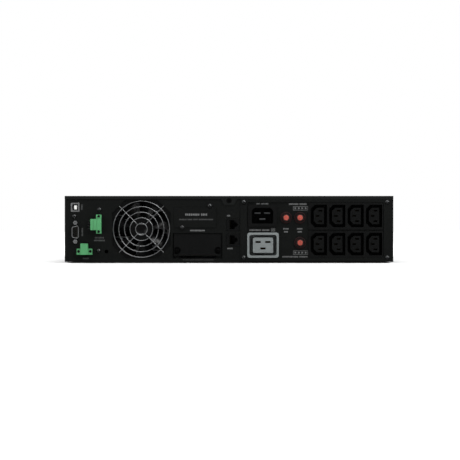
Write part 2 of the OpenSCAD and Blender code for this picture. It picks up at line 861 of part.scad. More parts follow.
module outlet_bank(row) {
    z = bank_z[row];
    color("#1a1b1b") difference() {
        union() {
            slab(press_face + gap, bank_face) soft_rect(bank_x[0], z[0], bank_x[1], z[1], 1.6);
            slab(rear - 28, press_face + 0.5) bank_body(z, 0);
        }
        slab(rear - 17, bank_face + past)
            for (p = outlets(row))
                difference() {
                    polygon(soften(cut_rect_at(p, 21.5, 30, [0, c13_cut, c13_cut, 0]), 0.9));
                    polygon(soften(cut_rect_at(p, 13.8, 21.8, [0, c13_cut - 1.2, c13_cut - 1.2, 0]), 0.7));
                }
        slab(rear - 22, bank_face + past)
            for (p = outlets(row), s = c13_slots(p))
                rect_at(s, c13_slot[0], c13_slot[1]);
        slab(rear - 22, bank_face - 3)
            for (p = outlets(row), s = c13_slots(p))
                rect_at(s, c13_slot[0] + 0.6, c13_slot[1] + 1.6);
        slab(rear - 30, rear - 20)
            for (p = outlets(row), s = c13_slots(p))
                rect_at(s, 3.2, 1);
    }
}

module outlet_bank_upper() outlet_bank(0);
module outlet_bank_lower() outlet_bank(1);

// Spring clip with two leaves and a solder tail
module clip(at, w, open, floor_y, tip_y) {
    slab(floor_y, tip_y)
        for (s = [-1, 1])
            rect_at(at + [0, s * (open / 2 + 0.25)], w, 0.5);
    slab(floor_y, floor_y + 0.6) rect_at(at, w, open + 1);
    slab(floor_y - 12, floor_y + 0.3) rect_at(at, 3, 0.8);
}

contact_depth = 8;
module socket_contacts() {
    color("#b9974a") {
        for (row = [0, 1], p = outlets(row), s = c13_slots(p))
            clip(s, c13_slot[0], c13_slot[1] + 0.2, rear - 21.5, bank_face - contact_depth);
        for (s = c19_slots)
            clip(s, c19_slot[0], c19_slot[1] + 0.2, rear - 23.5, c19_face - contact_depth);
    }
}

// ---- Circuit breakers ----

neck_r = 6;
button_r = 5.4;
cap_r = 4.1;
collar_r = 7.8;
neck_face = press_face + 2.8;
module breaker_bodies() {
    color("#1b1c1c")
        for (p = breaker_at)
            difference() {
                union() {
                    slab(rear - 30, press_back - gap) soft_rect_at(p, 15.5, 31, 1);
                    rod(p, neck_r, press_back - past, neck_face);
                }
                rod(p, button_r + gap, rear - 18, neck_face + past);
            }
}

module breaker_collars() {
    color("#202121")
        for (p = breaker_at)
            difference() {
                to_rear(p[0], press_face + gap, p[1]) rotate_extrude()
                    polygon([
                        [neck_r + gap, 0], [collar_r, 0], [collar_r, 1.8],
                        [collar_r - 0.7, 2.5], [neck_r + gap, 2.5]
                    ]);
                for (turn = [0 : 30 : 150])
                    to_rear(p[0], press_face + 1.2, p[1]) rotate(turn)
                        translate([collar_r - 0.35, -0.5, 0]) cube([2, 1, 3]);
            }
}

module breaker_button(i) {
    cap_h = 2.6;
    dome = 14;
    color("#d65a50")
        to_rear(breaker_at[i][0], rear - 14, breaker_at[i][1]) rotate_extrude() {
            square([button_r, neck_face - rear + 14 - 0.8]);
            intersection() {
                square([cap_r, neck_face - rear + 14 + cap_h]);
                translate([0, neck_face - rear + 14 + cap_h - dome]) circle(dome);
            }
        }
}

module breaker_button_1() breaker_button(0);
module breaker_button_2() breaker_button(1);
module breaker_button_3() breaker_button(2);

// ---- Power electronics ----

parts_z = board_z + 1.6 + gap;
module power_board() {
    color("#24633f") difference() {
        box([-208, 350, board_z], [66, rear - 44, board_z + 1.6]);
        for (p = standoff_at)
            translate([p[0], p[1], board_z - past]) cylinder(r = 1.6, h = 4);
    }
}

// Two finned sinks in the air channel ahead of the fan
fin_pitch = 6;
module heat_sinks() {
    color("#a9adb0")
        for (x = [80, 122])
            slab(rear - 215, rear - 62) {
                rect(x, 10, x + 5, 80);
                rect(x, sheet + gap, x + 12, 4);
                rect(x, 3, x + 3, 12);
                for (k = [0 : 10])
                    rect(x + 4, 14 + k * fin_pitch, x + 34, 15.6 + k * fin_pitch);
            }
}

module capacitors() {
    color("#27303f")
        for (i = [0 : 3], k = [0, 1])
            translate([-185 + i * 42, 378 + k * 40, parts_z]) rotate_extrude()
                polygon([
                    [0, 0], [17, 0], [17, 3], [16.4, 3.6], [16.4, 4.6], [17, 5.2], [17, 48.6],
                    [16, 50], [13.5, 50], [13, 49.2], [0, 49.2]
                ]);
}

module chokes() {
    color("#b87333")
        for (x = [-180, -118])
            translate([x, 470, parts_z]) difference() {
                rotate_extrude() translate([11, 0]) soft_rect(0, 0, 14, 24, 4);
                translate([-2, 0, -past]) cube([4, 40, 2]);
            }
}

module transformer() {
    color("#5b4a2f") {
        difference() {
            box([118, 130, 5], [188, 200, 62]);
            box([132, 129, 17], [174, 201, 50]);
        }
        box([145, 130.5, 17.2], [161, 199.5, 49.8]);
        translate([118, 130, sheet + gap]) cube([70, 70, 3.6]);
    }
}

module relays() {
    color("#2b2f55")
        for (i = [0 : 4])
            translate([-60 + i * 22, 500, parts_z]) cube([17, 30, 24]);
}

// ---- Battery ----

tray_front = front - 1.3;
tray_screw_at = [[99.6, 20], [99.6, 66]];
post_at = [for (x = [-195, 84], z = [14, 74]) [x, z]];
module battery_tray() {
    color("#aeb2b4") {
        difference() {
            slab(tray_front, tray_front + sheet)
                difference() {
                    rect(-212.4, tray_z, 104.2, 82);
                    holes(tray_screw_at, m4_r + gap);
                    holes(post_at, 3.1);
                    for (i = [0 : 15])
                        soft_rect(-182 + i * 16.4, 54, -172 + i * 16.4, 70, 2);
                }
        }
        difference() {
            box([tray_x0, tray_front + sheet - 0.2, tray_z], [tray_x1, tray_back, strap_z - gap]);
            box(
                [tray_x0 + sheet, tray_front, tray_z + sheet],
                [tray_x1 - sheet, tray_back - sheet, strap_z + past]
            );
            slab(tray_back - 2 * sheet, tray_back + past)
                rect(dc_at[0] - 30, 44, dc_at[0] + 30, strap_z + past);
        }
    }
}

function block_x(i) = (tray_x0 + tray_x1) / 2 + (i == 0 ? -block_l - block_gap : block_gap);
function block_y(k) = 8 + k * row_pitch;
module battery_blocks() {
    color("#2f3234")
        for (i = [0, 1], k = [0 : 2])
            let (x = block_x(i), y = block_y(k)) {
                slab(y, y + block_w - 8) soft_rect(x, block_z, x + block_l, block_z + block_h, 2);
                slab(y + block_w - 8.1, y + block_w)
                    soft_rect(x + 0.8, block_z + 0.8, x + block_l - 0.8, block_z + block_h - 0.8, 2);
            }
}

module battery_terminals() {
    color("#c9ccce")
        for (i = [0, 1], k = [0 : 2], side = [14, block_l - 14])
            let (x = block_x(i) + side, y = block_y(k) + block_w + gap)
                box([x - 3.1, y, block_z + 20], [x + 3.1, y + 5, block_z + 20.8]);
}

module battery_straps() {
    color("#9ea2a4")
        for (y = [60, 235])
            box([tray_x0, y, strap_z], [tray_x1, y + 24, strap_z + sheet]);
}

handle_x = -58;
handle_w = 96;
bend = 8;
// Bent rod that pulls the tray
module battery_handle() {
    reach = 17;
    base_y = tray_front - gap;
    color("#c2c5c7") {
        for (s = [-1, 1])
            translate([handle_x + s * handle_w / 2, base_y, 40]) {
                rotate([90, 0, 0]) cylinder(r = 3, h = reach - bend);
                rotate([90, 0, 0]) cylinder(r = 6, h = 1.5);
            }
        for (s = [0, 1])
            translate([handle_x, 0, 40]) mirror([s, 0, 0])
                translate([handle_w / 2 - bend, base_y - reach + bend, 0]) rotate([0, 0, -90])
                    rotate_extrude(angle = 90) translate([bend, 0]) circle(3);
        translate([handle_x - handle_w / 2 + bend, base_y - reach, 40]) rotate([0, 90, 0])
            cylinder(r = 3, h = handle_w - 2 * bend);
    }
}

// Plug on the tray, which meets its receptacle when the tray is home
module battery_plug() {
    color("#8f2f2a") difference() {
        union() {
            slab(tray_back + gap, tray_back + 8) rect_at(dc_at, 54, 26);
            slab(tray_back + 7, bay_back + 18) rect_at(dc_at, 37.2, 13.2);
        }
        slab(bay_back + 4, bay_back + 20)
            for (x = [-9, 9])
                rect_at(dc_at + [x, 0], 12, 7);
    }
}

module tray_screws() {
    color("#b5b8ba")
        for (p = tray_screw_at)
            difference() {
                to_front(p[0], tray_front - gap, p[1]) rotate_extrude()
                    polygon([
                        [0, -8], [m4_r, -8], [m4_r, 0], [3.2, 0], [3.2, 1],
                        [4.2, 1], [4.2, 6.5], [3.6, 7], [0, 7]
                    ]);
                box([p[0] - 5, tray_front - 8, p[1] - 0.5], [p[0] + 5, tray_front - 6, p[1] + 0.5]);
            }
}

// ---- Front ----

bezel_back = front - 0.15;
bezel_front = bezel_back - bezel_d;
skin = 2.6;
split_x = 107;
nose_r = 5;

// Profile of the plastic front seen from the side, grown inward by an amount
module nose_profile(inset)
    difference() {
        soft_rect(bezel_front + inset, inset, bezel_back + 20, case_h - inset, nose_r - inset);
        rect(bezel_back + (inset > 0 ? past : 0), -past, bezel_back + 30, case_h + past);
    }

module front_shell(x0, x1)
    difference() {
        side_slab(x0, x1) nose_profile(0);
        side_slab(x0 + skin, x1 - skin) nose_profile(skin);
    }

slat_pitch = 9;
slat_w = 4.6;
// Row of slanted air slots between two places
module air_slots(x0, x1, z0, z1) {
    lean = (z1 - z0) * 0.18;
    count = floor((x1 - x0 - lean) / slat_pitch);
    for (i = [0 : count - 1])
        polygon([
            [x0 + i * slat_pitch, z0], [x0 + i * slat_pitch + slat_w, z0],
            [x0 + i * slat_pitch + slat_w + lean, z1], [x0 + i * slat_pitch + lean, z1]
        ]);
}

display_at = [display_x, case_h / 2];
display_front = bezel_front - 2;
power_at = [208, case_h / 2];
power_r = 4.6;
module front_bezel() {
    color("#1e2021") difference() {
        union() {
            front_shell(split_x + 0.3, half_w);
            rod(display_at, display_r + 4, bezel_front + 1, bezel_front + 14);
            rod(power_at, power_r + 2.2, bezel_front + 1, bezel_front + 12);
        }
        rod(display_at, display_r + 0.1, bezel_front - past, bezel_back + past);
        rod(power_at, power_r + gap, bezel_front - past, bezel_back + past);
    }
}

module battery_door() {
    color("#1e2021") {
        difference() {
            front_shell(-half_w, split_x);
            slab(bezel_front - past, bezel_front + skin + 0.5) {
                air_slots(-208, 96, 12, 40);
                air_slots(-208 + 40 * 0.18, 96 + 40 * 0.18, 48, 76);
            }
        }
        // Snap posts that hold the door on the tray's front plate
        for (p = post_at)
            to_front(p[0], bezel_front + skin - 0.2, p[1]) mirror([0, 0, 1]) rotate_extrude()
                polygon([
                    [0, 0], [4.5, 0], [4.5, bezel_back - bezel_front - skin - 1.4],
                    [3, bezel_back - bezel_front - skin - 1.4], [3, bezel_back - bezel_front - skin + 3],
                    [1.8, bezel_back - bezel_front - skin + 5], [0, bezel_back - bezel_front - skin + 5]
                ]);
    }
}

window_size = [46, 27];
window_at = display_at + [0, 6];
key_at = [for (s = [-1, 0, 1]) display_at + [s * 13, -19]];
key_r = 4;
module display_housing() {
    depth = 18;
    color("#262829") difference() {
        to_front(display_at[0], display_front + depth, display_at[1]) rotate_extrude()
            polygon([
                [0, 0], [display_r + 3, 0], [display_r + 3, 2], [display_r, 2],
                [display_r, depth - 1.2], [display_r - 1.2, depth], [display_r - 3.5, depth],
                [display_r - 4.3, depth - 0.8], [0, depth - 0.8]
            ]);
        slab(display_front - past, display_front + 4)
            soft_rect_at(window_at, window_size[0] + 0.2, window_size[1] + 0.2, 2);
        slab(display_front + 2.9, display_front + depth - 5)
            soft_rect_at(window_at, window_size[0] - 4, window_size[1] - 4, 1);
        for (p = key_at)
            rod(p, key_r + gap, display_front - past, display_front + 9);
    }
}

module display_window() {
    color("#10202c") slab(display_front + 1.3, display_front + 3.9)
        soft_rect_at(window_at, window_size[0], window_size[1], 1.9);
}

module key(at, r, face_y, back_y)
    to_front(at[0], back_y, at[1]) rotate_extrude()
        polygon([
            [0, 0], [r, 0], [r, back_y - face_y - 0.5], [r - 0.5, back_y - face_y], [0, back_y - face_y]
        ]);

module display_key(i) color("#4b4e50") key(key_at[i], key_r, display_front - 0.8, display_front + 6.5);
module display_button_1() display_key(0);
module display_button_2() display_key(1);
module display_button_3() display_key(2);

module power_button() color("#54575a") key(power_at, power_r, bezel_front - 1.2, bezel_front + 10);

// ---- Assembly ----

chassis_base();
top_cover();
rear_panel();
outlet_panel();
front_frame();
bay_divider();
bay_guides();
rack_ears();
chassis_screws();
panel_screws();
fan_frame();
fan_rotor();
fan_guard();
fan_nuts();
usb_shell();
usb_tongue();
serial_shell();
serial_insert();
serial_jackscrews();
relay_plug();
epo_plug();
terminal_fittings();
terminal_headers();
signal_boards();
network_jacks();
expansion_cover();
battery_port_cover();
dc_connectors();
ac_inlet();
inlet_pins();
outlet_c19();
outlet_bank_upper();
outlet_bank_lower();
socket_contacts();
breaker_bodies();
breaker_collars();
breaker_button_1();
breaker_button_2();
breaker_button_3();
power_board();
heat_sinks();
capacitors();
chokes();
transformer();
relays();
battery_tray();
battery_blocks();
battery_terminals();
battery_straps();
battery_handle();
battery_plug();
tray_screws();
front_bezel();
battery_door();
display_housing();
display_window();
display_button_1();
display_button_2();
display_button_3();
power_button();
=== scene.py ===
"""Looks of a two-unit rackmount power supply: materials, fine pieces, floor, light and camera."""

import json
import math
import random

import bmesh
import bpy
from mathutils import Matrix, Vector


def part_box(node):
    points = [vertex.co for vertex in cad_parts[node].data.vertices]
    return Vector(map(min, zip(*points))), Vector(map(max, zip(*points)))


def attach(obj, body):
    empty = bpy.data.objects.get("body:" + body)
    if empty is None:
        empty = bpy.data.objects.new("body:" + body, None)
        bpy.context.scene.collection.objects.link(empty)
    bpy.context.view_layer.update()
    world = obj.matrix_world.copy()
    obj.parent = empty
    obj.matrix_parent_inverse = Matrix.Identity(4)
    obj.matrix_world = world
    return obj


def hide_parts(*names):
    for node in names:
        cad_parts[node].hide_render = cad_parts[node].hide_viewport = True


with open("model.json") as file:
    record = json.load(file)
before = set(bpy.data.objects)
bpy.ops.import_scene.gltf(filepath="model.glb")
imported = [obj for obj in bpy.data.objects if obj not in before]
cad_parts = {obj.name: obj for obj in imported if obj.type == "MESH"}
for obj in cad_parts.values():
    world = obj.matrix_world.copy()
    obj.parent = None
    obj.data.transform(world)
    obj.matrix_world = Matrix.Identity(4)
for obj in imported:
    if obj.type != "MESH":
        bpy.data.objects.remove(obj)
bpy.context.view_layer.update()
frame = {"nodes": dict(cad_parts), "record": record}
NODES = frame["nodes"]
RECORD = frame["record"]
MM = 0.001
ROOT = "chassis"
random.seed(7)


# ---- Places from the frame ----

def middle(node):
    low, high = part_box(node)
    return (low + high) / 2


# The rear panel's studs, flanges and pressed pocket are inside, so its highest Y is its outer face
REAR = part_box("rear_panel")[1].y
CASE_LOW, CASE_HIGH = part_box("chassis_base")
# The fan's square frame is centred on its axis, and the box of its seven blades isn't
FAN = middle("fan_frame")


# ---- Materials ----

class Shader:
    """One node material: a Principled surface with noise, bump and soft edges added to it."""

    def __init__(self, name, colour, rough, metal=0.0, specular=0.5):
        self.material = bpy.data.materials.new(name)
        self.material.use_nodes = True
        self.tree = self.material.node_tree
        self.surface = self.tree.nodes["Principled BSDF"]
        self.place = self.node("ShaderNodeTexCoord").outputs["Object"]
        self.colour = colour
        self.rough = rough
        self.set("Base Color", (*colour, 1))
        self.set("Roughness", rough)
        self.set("Metallic", metal)
        self.set("Specular IOR Level", specular)

    def node(self, kind):
        return self.tree.nodes.new(kind)

    def link(self, source, target):
        self.tree.links.new(source, target)

    def set(self, socket, value):
        self.surface.inputs[socket].default_value = value

    def stretched(self, scale):
        """Object coordinates scaled by a different amount along each axis."""
        mapping = self.node("ShaderNodeMapping")
        mapping.inputs["Scale"].default_value = scale
        self.link(self.place, mapping.inputs["Vector"])
        return mapping.outputs["Vector"]

    def noise(self, size, detail=2.0, stretch=(1, 1, 1)):
        """Noise whose grains are about size metres across."""
        texture = self.node("ShaderNodeTexNoise")
        texture.inputs["Scale"].default_value = 1 / size
        texture.inputs["Detail"].default_value = detail
        self.link(self.stretched(stretch), texture.inputs["Vector"])
        return texture.outputs["Fac"]

    def cells(self, size):
        """Distance from the middle of irregular cells about size metres across."""
        texture = self.node("ShaderNodeTexVoronoi")
        texture.inputs["Scale"].default_value = 1 / size
        self.link(self.place, texture.inputs["Vector"])
        return texture.outputs["Distance"]

    def spread(self, value, low, high, source=(0.3, 0.7)):
        """Maps a value that runs over source onto low..high."""
        ramp = self.node("ShaderNodeMapRange")
        ramp.inputs["From Min"].default_value = source[0]
        ramp.inputs["From Max"].default_value = source[1]
        ramp.inputs["To Min"].default_value = low
        ramp.inputs["To Max"].default_value = high
        self.link(value, ramp.inputs["Value"])
        return ramp.outputs["Result"]

    def mix(self, share, first, second):
        """Blends two colours. Each argument is a value or another node's output."""
        blend = self.node("ShaderNodeMix")
        blend.data_type = "RGBA"
        for socket, value in ((0, share), (6, first), (7, second)):
            if hasattr(value, "is_output"):
                self.link(value, blend.inputs[socket])
            else:
                blend.inputs[socket].default_value = value if socket == 0 else (*value, 1)
        return blend.outputs[2]

    def mottle(self, size, amount):
        """Uneven colour: darker and lighter by amount, in patches of size metres."""
        dark = tuple(c * (1 - amount) for c in self.colour)
        light = tuple(c * (1 + amount) for c in self.colour)
        share = self.spread(self.noise(size, 3.0), 0, 1)
        colour = self.mix(share, dark, light)
        self.link(colour, self.surface.inputs["Base Color"])
        return colour

    def uneven_gloss(self, size, amount, stretch=(1, 1, 1)):
        value = self.spread(self.noise(size, 3.0, stretch), self.rough - amount, self.rough + amount)
        self.link(value, self.surface.inputs["Roughness"])

    def relief(self, layers, edge=0.15 * MM):
        """Rounds the edges and adds bump layers: (height, depth in metres)."""
        soft = self.node("ShaderNodeBevel")
        soft.samples = 4
        soft.inputs["Radius"].default_value = edge
        normal = soft.outputs["Normal"]
        for height, depth in layers:
            bump = self.node("ShaderNodeBump")
            bump.inputs["Distance"].default_value = depth
            bump.inputs["Strength"].default_value = 1.0
            self.link(height, bump.inputs["Height"])
            self.link(normal, bump.inputs["Normal"])
            normal = bump.outputs["Normal"]
        self.link(normal, self.surface.inputs["Normal"])

    def worn_edges(self, colour, radius, tone, share=0.5):
        """Lightens convex edges, where handling rubs the surface."""
        soft = self.node("ShaderNodeBevel")
        soft.samples = 4
        soft.inputs["Radius"].default_value = radius
        geometry = self.node("ShaderNodeNewGeometry")
        dot = self.node("ShaderNodeVectorMath")
        dot.operation = "DOT_PRODUCT"
        self.link(soft.outputs["Normal"], dot.inputs[0])
        self.link(geometry.outputs["True Normal"], dot.inputs[1])
        edge = self.spread(dot.outputs["Value"], share, 0, (0.75, 0.98))
        worn = self.mix(edge, (0, 0, 0), tone)
        blend = self.node("ShaderNodeMix")
        blend.data_type = "RGBA"
        blend.blend_type = "ADD"
        blend.inputs[0].default_value = 1
        self.link(colour, blend.inputs[6])
        self.link(worn, blend.inputs[7])
        self.link(blend.outputs[2], self.surface.inputs["Base Color"])


def powder_coat(name, colour, rough=0.52, specular=0.09):
    """Fine-grained baked paint, a little lighter along its edges."""
    s = Shader(name, colour, rough, specular=specular)
    tone = s.mottle(60 * MM, 0.07)
    s.worn_edges(tone, 0.5 * MM, (0.006, 0.0065, 0.0065))
    s.uneven_gloss(18 * MM, 0.025)
    s.relief([(s.noise(0.55 * MM), 0.02 * MM), (s.noise(2.6 * MM), 0.02 * MM)], 0.25 * MM)
    return s.material


def moulded(name, colour, rough=0.48, grain=0.3 * MM, depth=0.012 * MM, specular=0.4, mottle=0.08):
    """Matt plastic with the fine grain of its mould."""
    s = Shader(name, colour, rough, specular=specular)
    s.mottle(25 * MM, mottle)
    s.uneven_gloss(8 * MM, 0.05)
    s.relief([(s.noise(grain), depth)], 0.2 * MM)
    return s.material


def glossy(name, colour, rough=0.18, specular=0.5):
    """Smooth plastic with faint waves."""
    s = Shader(name, colour, rough, specular=specular)
    s.mottle(12 * MM, 0.05)
    s.uneven_gloss(3 * MM, 0.04)
    s.relief([(s.noise(4 * MM), 0.01 * MM)], 0.15 * MM)
    return s.material


def plated(name, colour, rough=0.22, grain=0.8 * MM, dull=0.08):
    """Plated metal. Its gloss varies by dull."""
    s = Shader(name, colour, rough, metal=1.0)
    s.mottle(9 * MM, 0.08)
    s.uneven_gloss(2.5 * MM, dull)
    s.relief([(s.noise(grain), 0.004 * MM)], 0.12 * MM)
    return s.material


def brushed(name, colour, rough=0.36, stretch=(1, 40, 40)):
    """Sheet metal with rolling marks along one axis."""
    s = Shader(name, colour, rough, metal=1.0)
    s.mottle(30 * MM, 0.10)
    s.uneven_gloss(30 * MM, 0.12, stretch)
    s.relief([(s.noise(8 * MM, 2.0, stretch), 0.006 * MM), (s.cells(6 * MM), 0.004 * MM)], 0.15 * MM)
    return s.material


def circuit(name, colour):
    """Solder mask over straight copper tracks."""
    s = Shader(name, colour, 0.32)
    tracks = s.node("ShaderNodeTexBrick")
    tracks.inputs["Scale"].default_value = 90
    tracks.inputs["Mortar Size"].default_value = 0.045
    tracks.inputs["Row Height"].default_value = 0.35
    tracks.inputs["Brick Width"].default_value = 0.9
    tracks.inputs["Color1"].default_value = (*colour, 1)
    tracks.inputs["Color2"].default_value = (*(c * 0.8 for c in colour), 1)
    tracks.inputs["Mortar"].default_value = (*(min(1, c * 1.9) for c in colour), 1)
    s.link(s.place, tracks.inputs["Vector"])
    s.link(tracks.outputs["Color"], s.surface.inputs["Base Color"])
    s.relief([(tracks.outputs["Fac"], 0.03 * MM)], 0.1 * MM)
    return s.material


def laminated(name, colour):
    """Stack of varnished steel sheets."""
    s = Shader(name, colour, 0.4, metal=0.6)
    wave = s.node("ShaderNodeTexWave")
    wave.bands_direction = "Y"
    wave.inputs["Scale"].default_value = 320
    s.link(s.place, wave.inputs["Vector"])
    s.mottle(14 * MM, 0.2)
    s.relief([(wave.outputs["Fac"], 0.08 * MM)], 0.2 * MM)
    return s.material


def wound(name, colour, pitch):
    """Enamelled copper wire lying in turns."""
    s = Shader(name, colour, 0.22, metal=0.85)
    wave = s.node("ShaderNodeTexWave")
    wave.bands_direction = "Y"
    wave.inputs["Scale"].default_value = 0.35 / pitch
    s.link(s.place, wave.inputs["Vector"])
    s.mottle(7 * MM, 0.15)
    s.relief([(wave.outputs["Fac"], 0.3 * MM)], 0.2 * MM)
    return s.material


def printed(name, colour):
    """Screen-printed ink, a little thin in places."""
    s = Shader(name, colour, 0.6, specular=0.2)
    s.mottle(1.2 * MM, 0.14)
    s.relief([(s.noise(0.4 * MM), 0.01 * MM)], 0.03 * MM)
    return s.material


def lit(name, colour, strength):
    """Small lamp or lit segment with a softer rim."""
    s = Shader(name, colour, 0.3)
    s.mottle(2 * MM, 0.1)
    s.set("Emission Color", (*colour, 1))
    glow = s.spread(s.noise(1.5 * MM), strength * 0.8, strength)
    s.link(glow, s.surface.inputs["Emission Strength"])
    return s.material


def dark_glass(name):
    """Tinted window with a clear coat."""
    s = Shader(name, (0.004, 0.007, 0.010), 0.06, specular=0.5)
    s.mottle(20 * MM, 0.2)
    s.uneven_gloss(10 * MM, 0.02)
    s.set("Coat Weight", 0.6)
    s.set("Coat Roughness", 0.03)
    s.relief([(s.noise(30 * MM), 0.01 * MM)], 0.3 * MM)
    return s.material


MATERIALS = {
    "case_paint": powder_coat("case_paint", (0.0050, 0.0057, 0.0053)),
    "cover_paint": powder_coat("cover_paint", (0.0076, 0.0086, 0.0081), 0.5),
    "zinc_steel": brushed("zinc_steel", (0.52, 0.53, 0.55)),
    "nickel": plated("nickel", (0.60, 0.61, 0.615), 0.34),
    "chrome_wire": plated("chrome_wire", (0.38, 0.39, 0.395), 0.34, dull=0.04),
    "black_screw": plated("black_screw", (0.012, 0.0125, 0.0125), 0.38),
    "dark_screw": plated("dark_screw", (0.064, 0.066, 0.067), 0.20, dull=0.04),
    "nylon": moulded("nylon", (0.62, 0.61, 0.56), 0.4),
    "black_plastic": moulded("black_plastic", (0.0046, 0.0049, 0.0049), 0.45, specular=0.09),
    "gloss_black": glossy("gloss_black", (0.0035, 0.0036, 0.0038), 0.2, 0.2),
    "grey_plastic": moulded("grey_plastic", (0.178, 0.197, 0.197), 0.5, mottle=0.03),
    "white_plastic": moulded("white_plastic", (0.80, 0.80, 0.77), 0.35),
    "green_plastic": moulded("green_plastic", (0.071, 0.30, 0.117), 0.45, mottle=0.03),
    "red_plastic": glossy("red_plastic", (0.38, 0.062, 0.041), 0.34),
    "blue_plastic": moulded("blue_plastic", (0.02, 0.06, 0.22), 0.35),
    "brown_plastic": moulded("brown_plastic", (0.30, 0.035, 0.025), 0.4),
    "bezel_plastic": moulded("bezel_plastic", (0.0085, 0.0092, 0.0098), 0.46, 0.5 * MM, 0.03 * MM, 0.2),
    "window": dark_glass("window"),
    "circuit_board": circuit("circuit_board", (0.015, 0.11, 0.045)),
    # Painted shade: this brass is made far darker than brass, as its contacts lie deep in the outlet slots,
    # in shade
    "brass": plated("brass", (0.055, 0.038, 0.016), 0.34),
    "copper_winding": wound("copper_winding", (0.62, 0.22, 0.07), 1.1 * MM),
    "core_steel": laminated("core_steel", (0.10, 0.085, 0.06)),
    "aluminium": brushed("aluminium", (0.58, 0.59, 0.60), 0.4, (30, 1, 30)),
    "capacitor_sleeve": glossy("capacitor_sleeve", (0.012, 0.018, 0.05), 0.25),
    "battery_case": moulded("battery_case", (0.022, 0.024, 0.026), 0.45, 0.8 * MM, 0.02 * MM),
}
INK = printed("ink_white", (0.135, 0.138, 0.138))
DIM_INK = printed("ink_dim", (0.058, 0.060, 0.060))
FAINT_INK = printed("ink_grey", (0.026, 0.027, 0.027))
# Painted shade: dark red for the rims of the breaker caps, standing for their skirts in shade
CAP_RIM_SHADE = glossy("cap_rim_painted_shade", (0.028, 0.008, 0.007), 0.4)
CONTACT = plated("contact", (0.13, 0.115, 0.075), 0.3)
COLLAR = moulded("collar_plastic", (0.017, 0.0075, 0.0075), 0.45, specular=0.09)
# Painted shade: dark steel for the inlet pins and the base of the USB tongue, deep in their ports
PORT_SHADE_STEEL = plated("port_shade_steel", (0.16, 0.167, 0.172), 0.4)
SHADOW = moulded("deep_black", (0.0022, 0.0023, 0.0023), 0.6, specular=0.04)
RED_WIRE = glossy("red_insulation", (0.42, 0.012, 0.010), 0.35)
BLACK_WIRE = glossy("black_insulation", (0.012, 0.012, 0.013), 0.35)
GREEN_LAMP = lit("green_lamp", (0.05, 0.9, 0.25), 1.4)
SEGMENTS = lit("screen_segments", (0.45, 0.75, 0.95), 0.9)


# ---- Mesh building ----

def put(name, bm, materials, body, stands_for=(), sharp=35):
    """Makes the mesh a piece that rides on a body."""
    bmesh.ops.recalc_face_normals(bm, faces=bm.faces)
    mesh = bpy.data.meshes.new(name)
    bm.to_mesh(mesh)
    bm.free()
    for face in mesh.polygons:
        face.use_smooth = True
    mesh.set_sharp_from_angle(angle=math.radians(sharp))
    for material in materials:
        mesh.materials.append(material)
    piece = bpy.data.objects.new(name, mesh)
    bpy.context.scene.collection.objects.link(piece)
    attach(piece, body)
    if stands_for:
        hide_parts(*stands_for)
    return piece


def round_rect(centre, size, radius, steps=4):
    """Outline points, anticlockwise, of a rectangle with round corners."""
    points = []
    for sx, sz, start in ((1, 1, 0), (-1, 1, 90), (-1, -1, 180), (1, -1, 270)):
        cx = centre[0] + sx * (size[0] / 2 - radius)
        cz = centre[1] + sz * (size[1] / 2 - radius)
        for k in range(steps + 1):
            turn = math.radians(start + 90 * k / steps)
            points.append((cx + radius * math.cos(turn), cz + radius * math.sin(turn)))
    return points


def prism(bm, outline, y0, y1, slot=0):
    """Closed solid from an outline in X and Z, between two places along Y."""
    rings = [[bm.verts.new((x, y, z)) for x, z in outline] for y in (y0, y1)]
    faces = [bm.faces.new(rings[0]), bm.faces.new(rings[1])]
    count = len(outline)
    for i in range(count):
        j = (i + 1) % count
        faces.append(bm.faces.new((rings[0][i], rings[0][j], rings[1][j], rings[1][i])))
    for face in faces:
        face.material_index = slot
    return rings[0] + rings[1]


def frame_outline(bm, centre, size, line, y0, y1, slot=0):
    """Thin rectangular outline made of four bars."""
    (x, z), (w, h) = centre, size
    for s in (-1, 1):
        level = round_rect((x, z + s * (h - line) / 2), (w, line), line * 0.2, 1)
        prism(bm, level, y0, y1, slot)
        upright = round_rect((x + s * (w - line) / 2, z), (line, h - 2.4 * line), line * 0.2, 1)
        prism(bm, upright, y0, y1, slot)


def ring_points(centre, radius, count):
    """Points on a circle about a line along Y."""
    points = []
    for k in range(count):
        turn = 2 * math.pi * k / count
        points.append(centre + Vector((radius * math.cos(turn), 0, radius * math.sin(turn))))
    return points


def tube(bm, points, radius, sides=10, closed=False, slot=0):
    """Round wire along a path of points, with its ends capped."""
    points = [Vector(p) for p in points]
    count = len(points)
    rings = []
    side = None
    for i, p in enumerate(points):
        if closed:
            ahead = points[(i + 1) % count] - points[i - 1]
        else:
            ahead = points[min(i + 1, count - 1)] - points[max(i - 1, 0)]
        ahead.normalize()
        if side is None:
            side = ahead.orthogonal().normalized()
        side = (side - ahead * side.dot(ahead)).normalized()
        up = ahead.cross(side)
        ring = []
        for k in range(sides):
            turn = 2 * math.pi * k / sides
            ring.append(bm.verts.new(p + radius * (math.cos(turn) * side + math.sin(turn) * up)))
        rings.append(ring)
    last = count if closed else count - 1
    for i in range(last):
        a, b = rings[i], rings[(i + 1) % count]
        for k in range(sides):
            j = (k + 1) % sides
            bm.faces.new((a[k], a[j], b[j], b[k])).material_index = slot
    if not closed:
        bm.faces.new(rings[0]).material_index = slot
        bm.faces.new(rings[-1]).material_index = slot


def bent(points, radius, steps=6):
    """Path with each inner corner rounded to a radius."""
    points = [Vector(p) for p in points]
    path = [points[0]]
    for before, corner, after in zip(points, points[1:], points[2:]):
        a, b = (before - corner).normalized(), (after - corner).normalized()
        half = a.angle(b) / 2
        reach = min(radius / math.tan(half), (before - corner).length * 0.45, (after - corner).length * 0.45)
        start, end = corner + a * reach, corner + b * reach
        for k in range(steps + 1):
            t = k / steps
            path.append(start * (1 - t) ** 2 + corner * 2 * t * (1 - t) + end * t ** 2)
    path.append(points[-1])
    return path


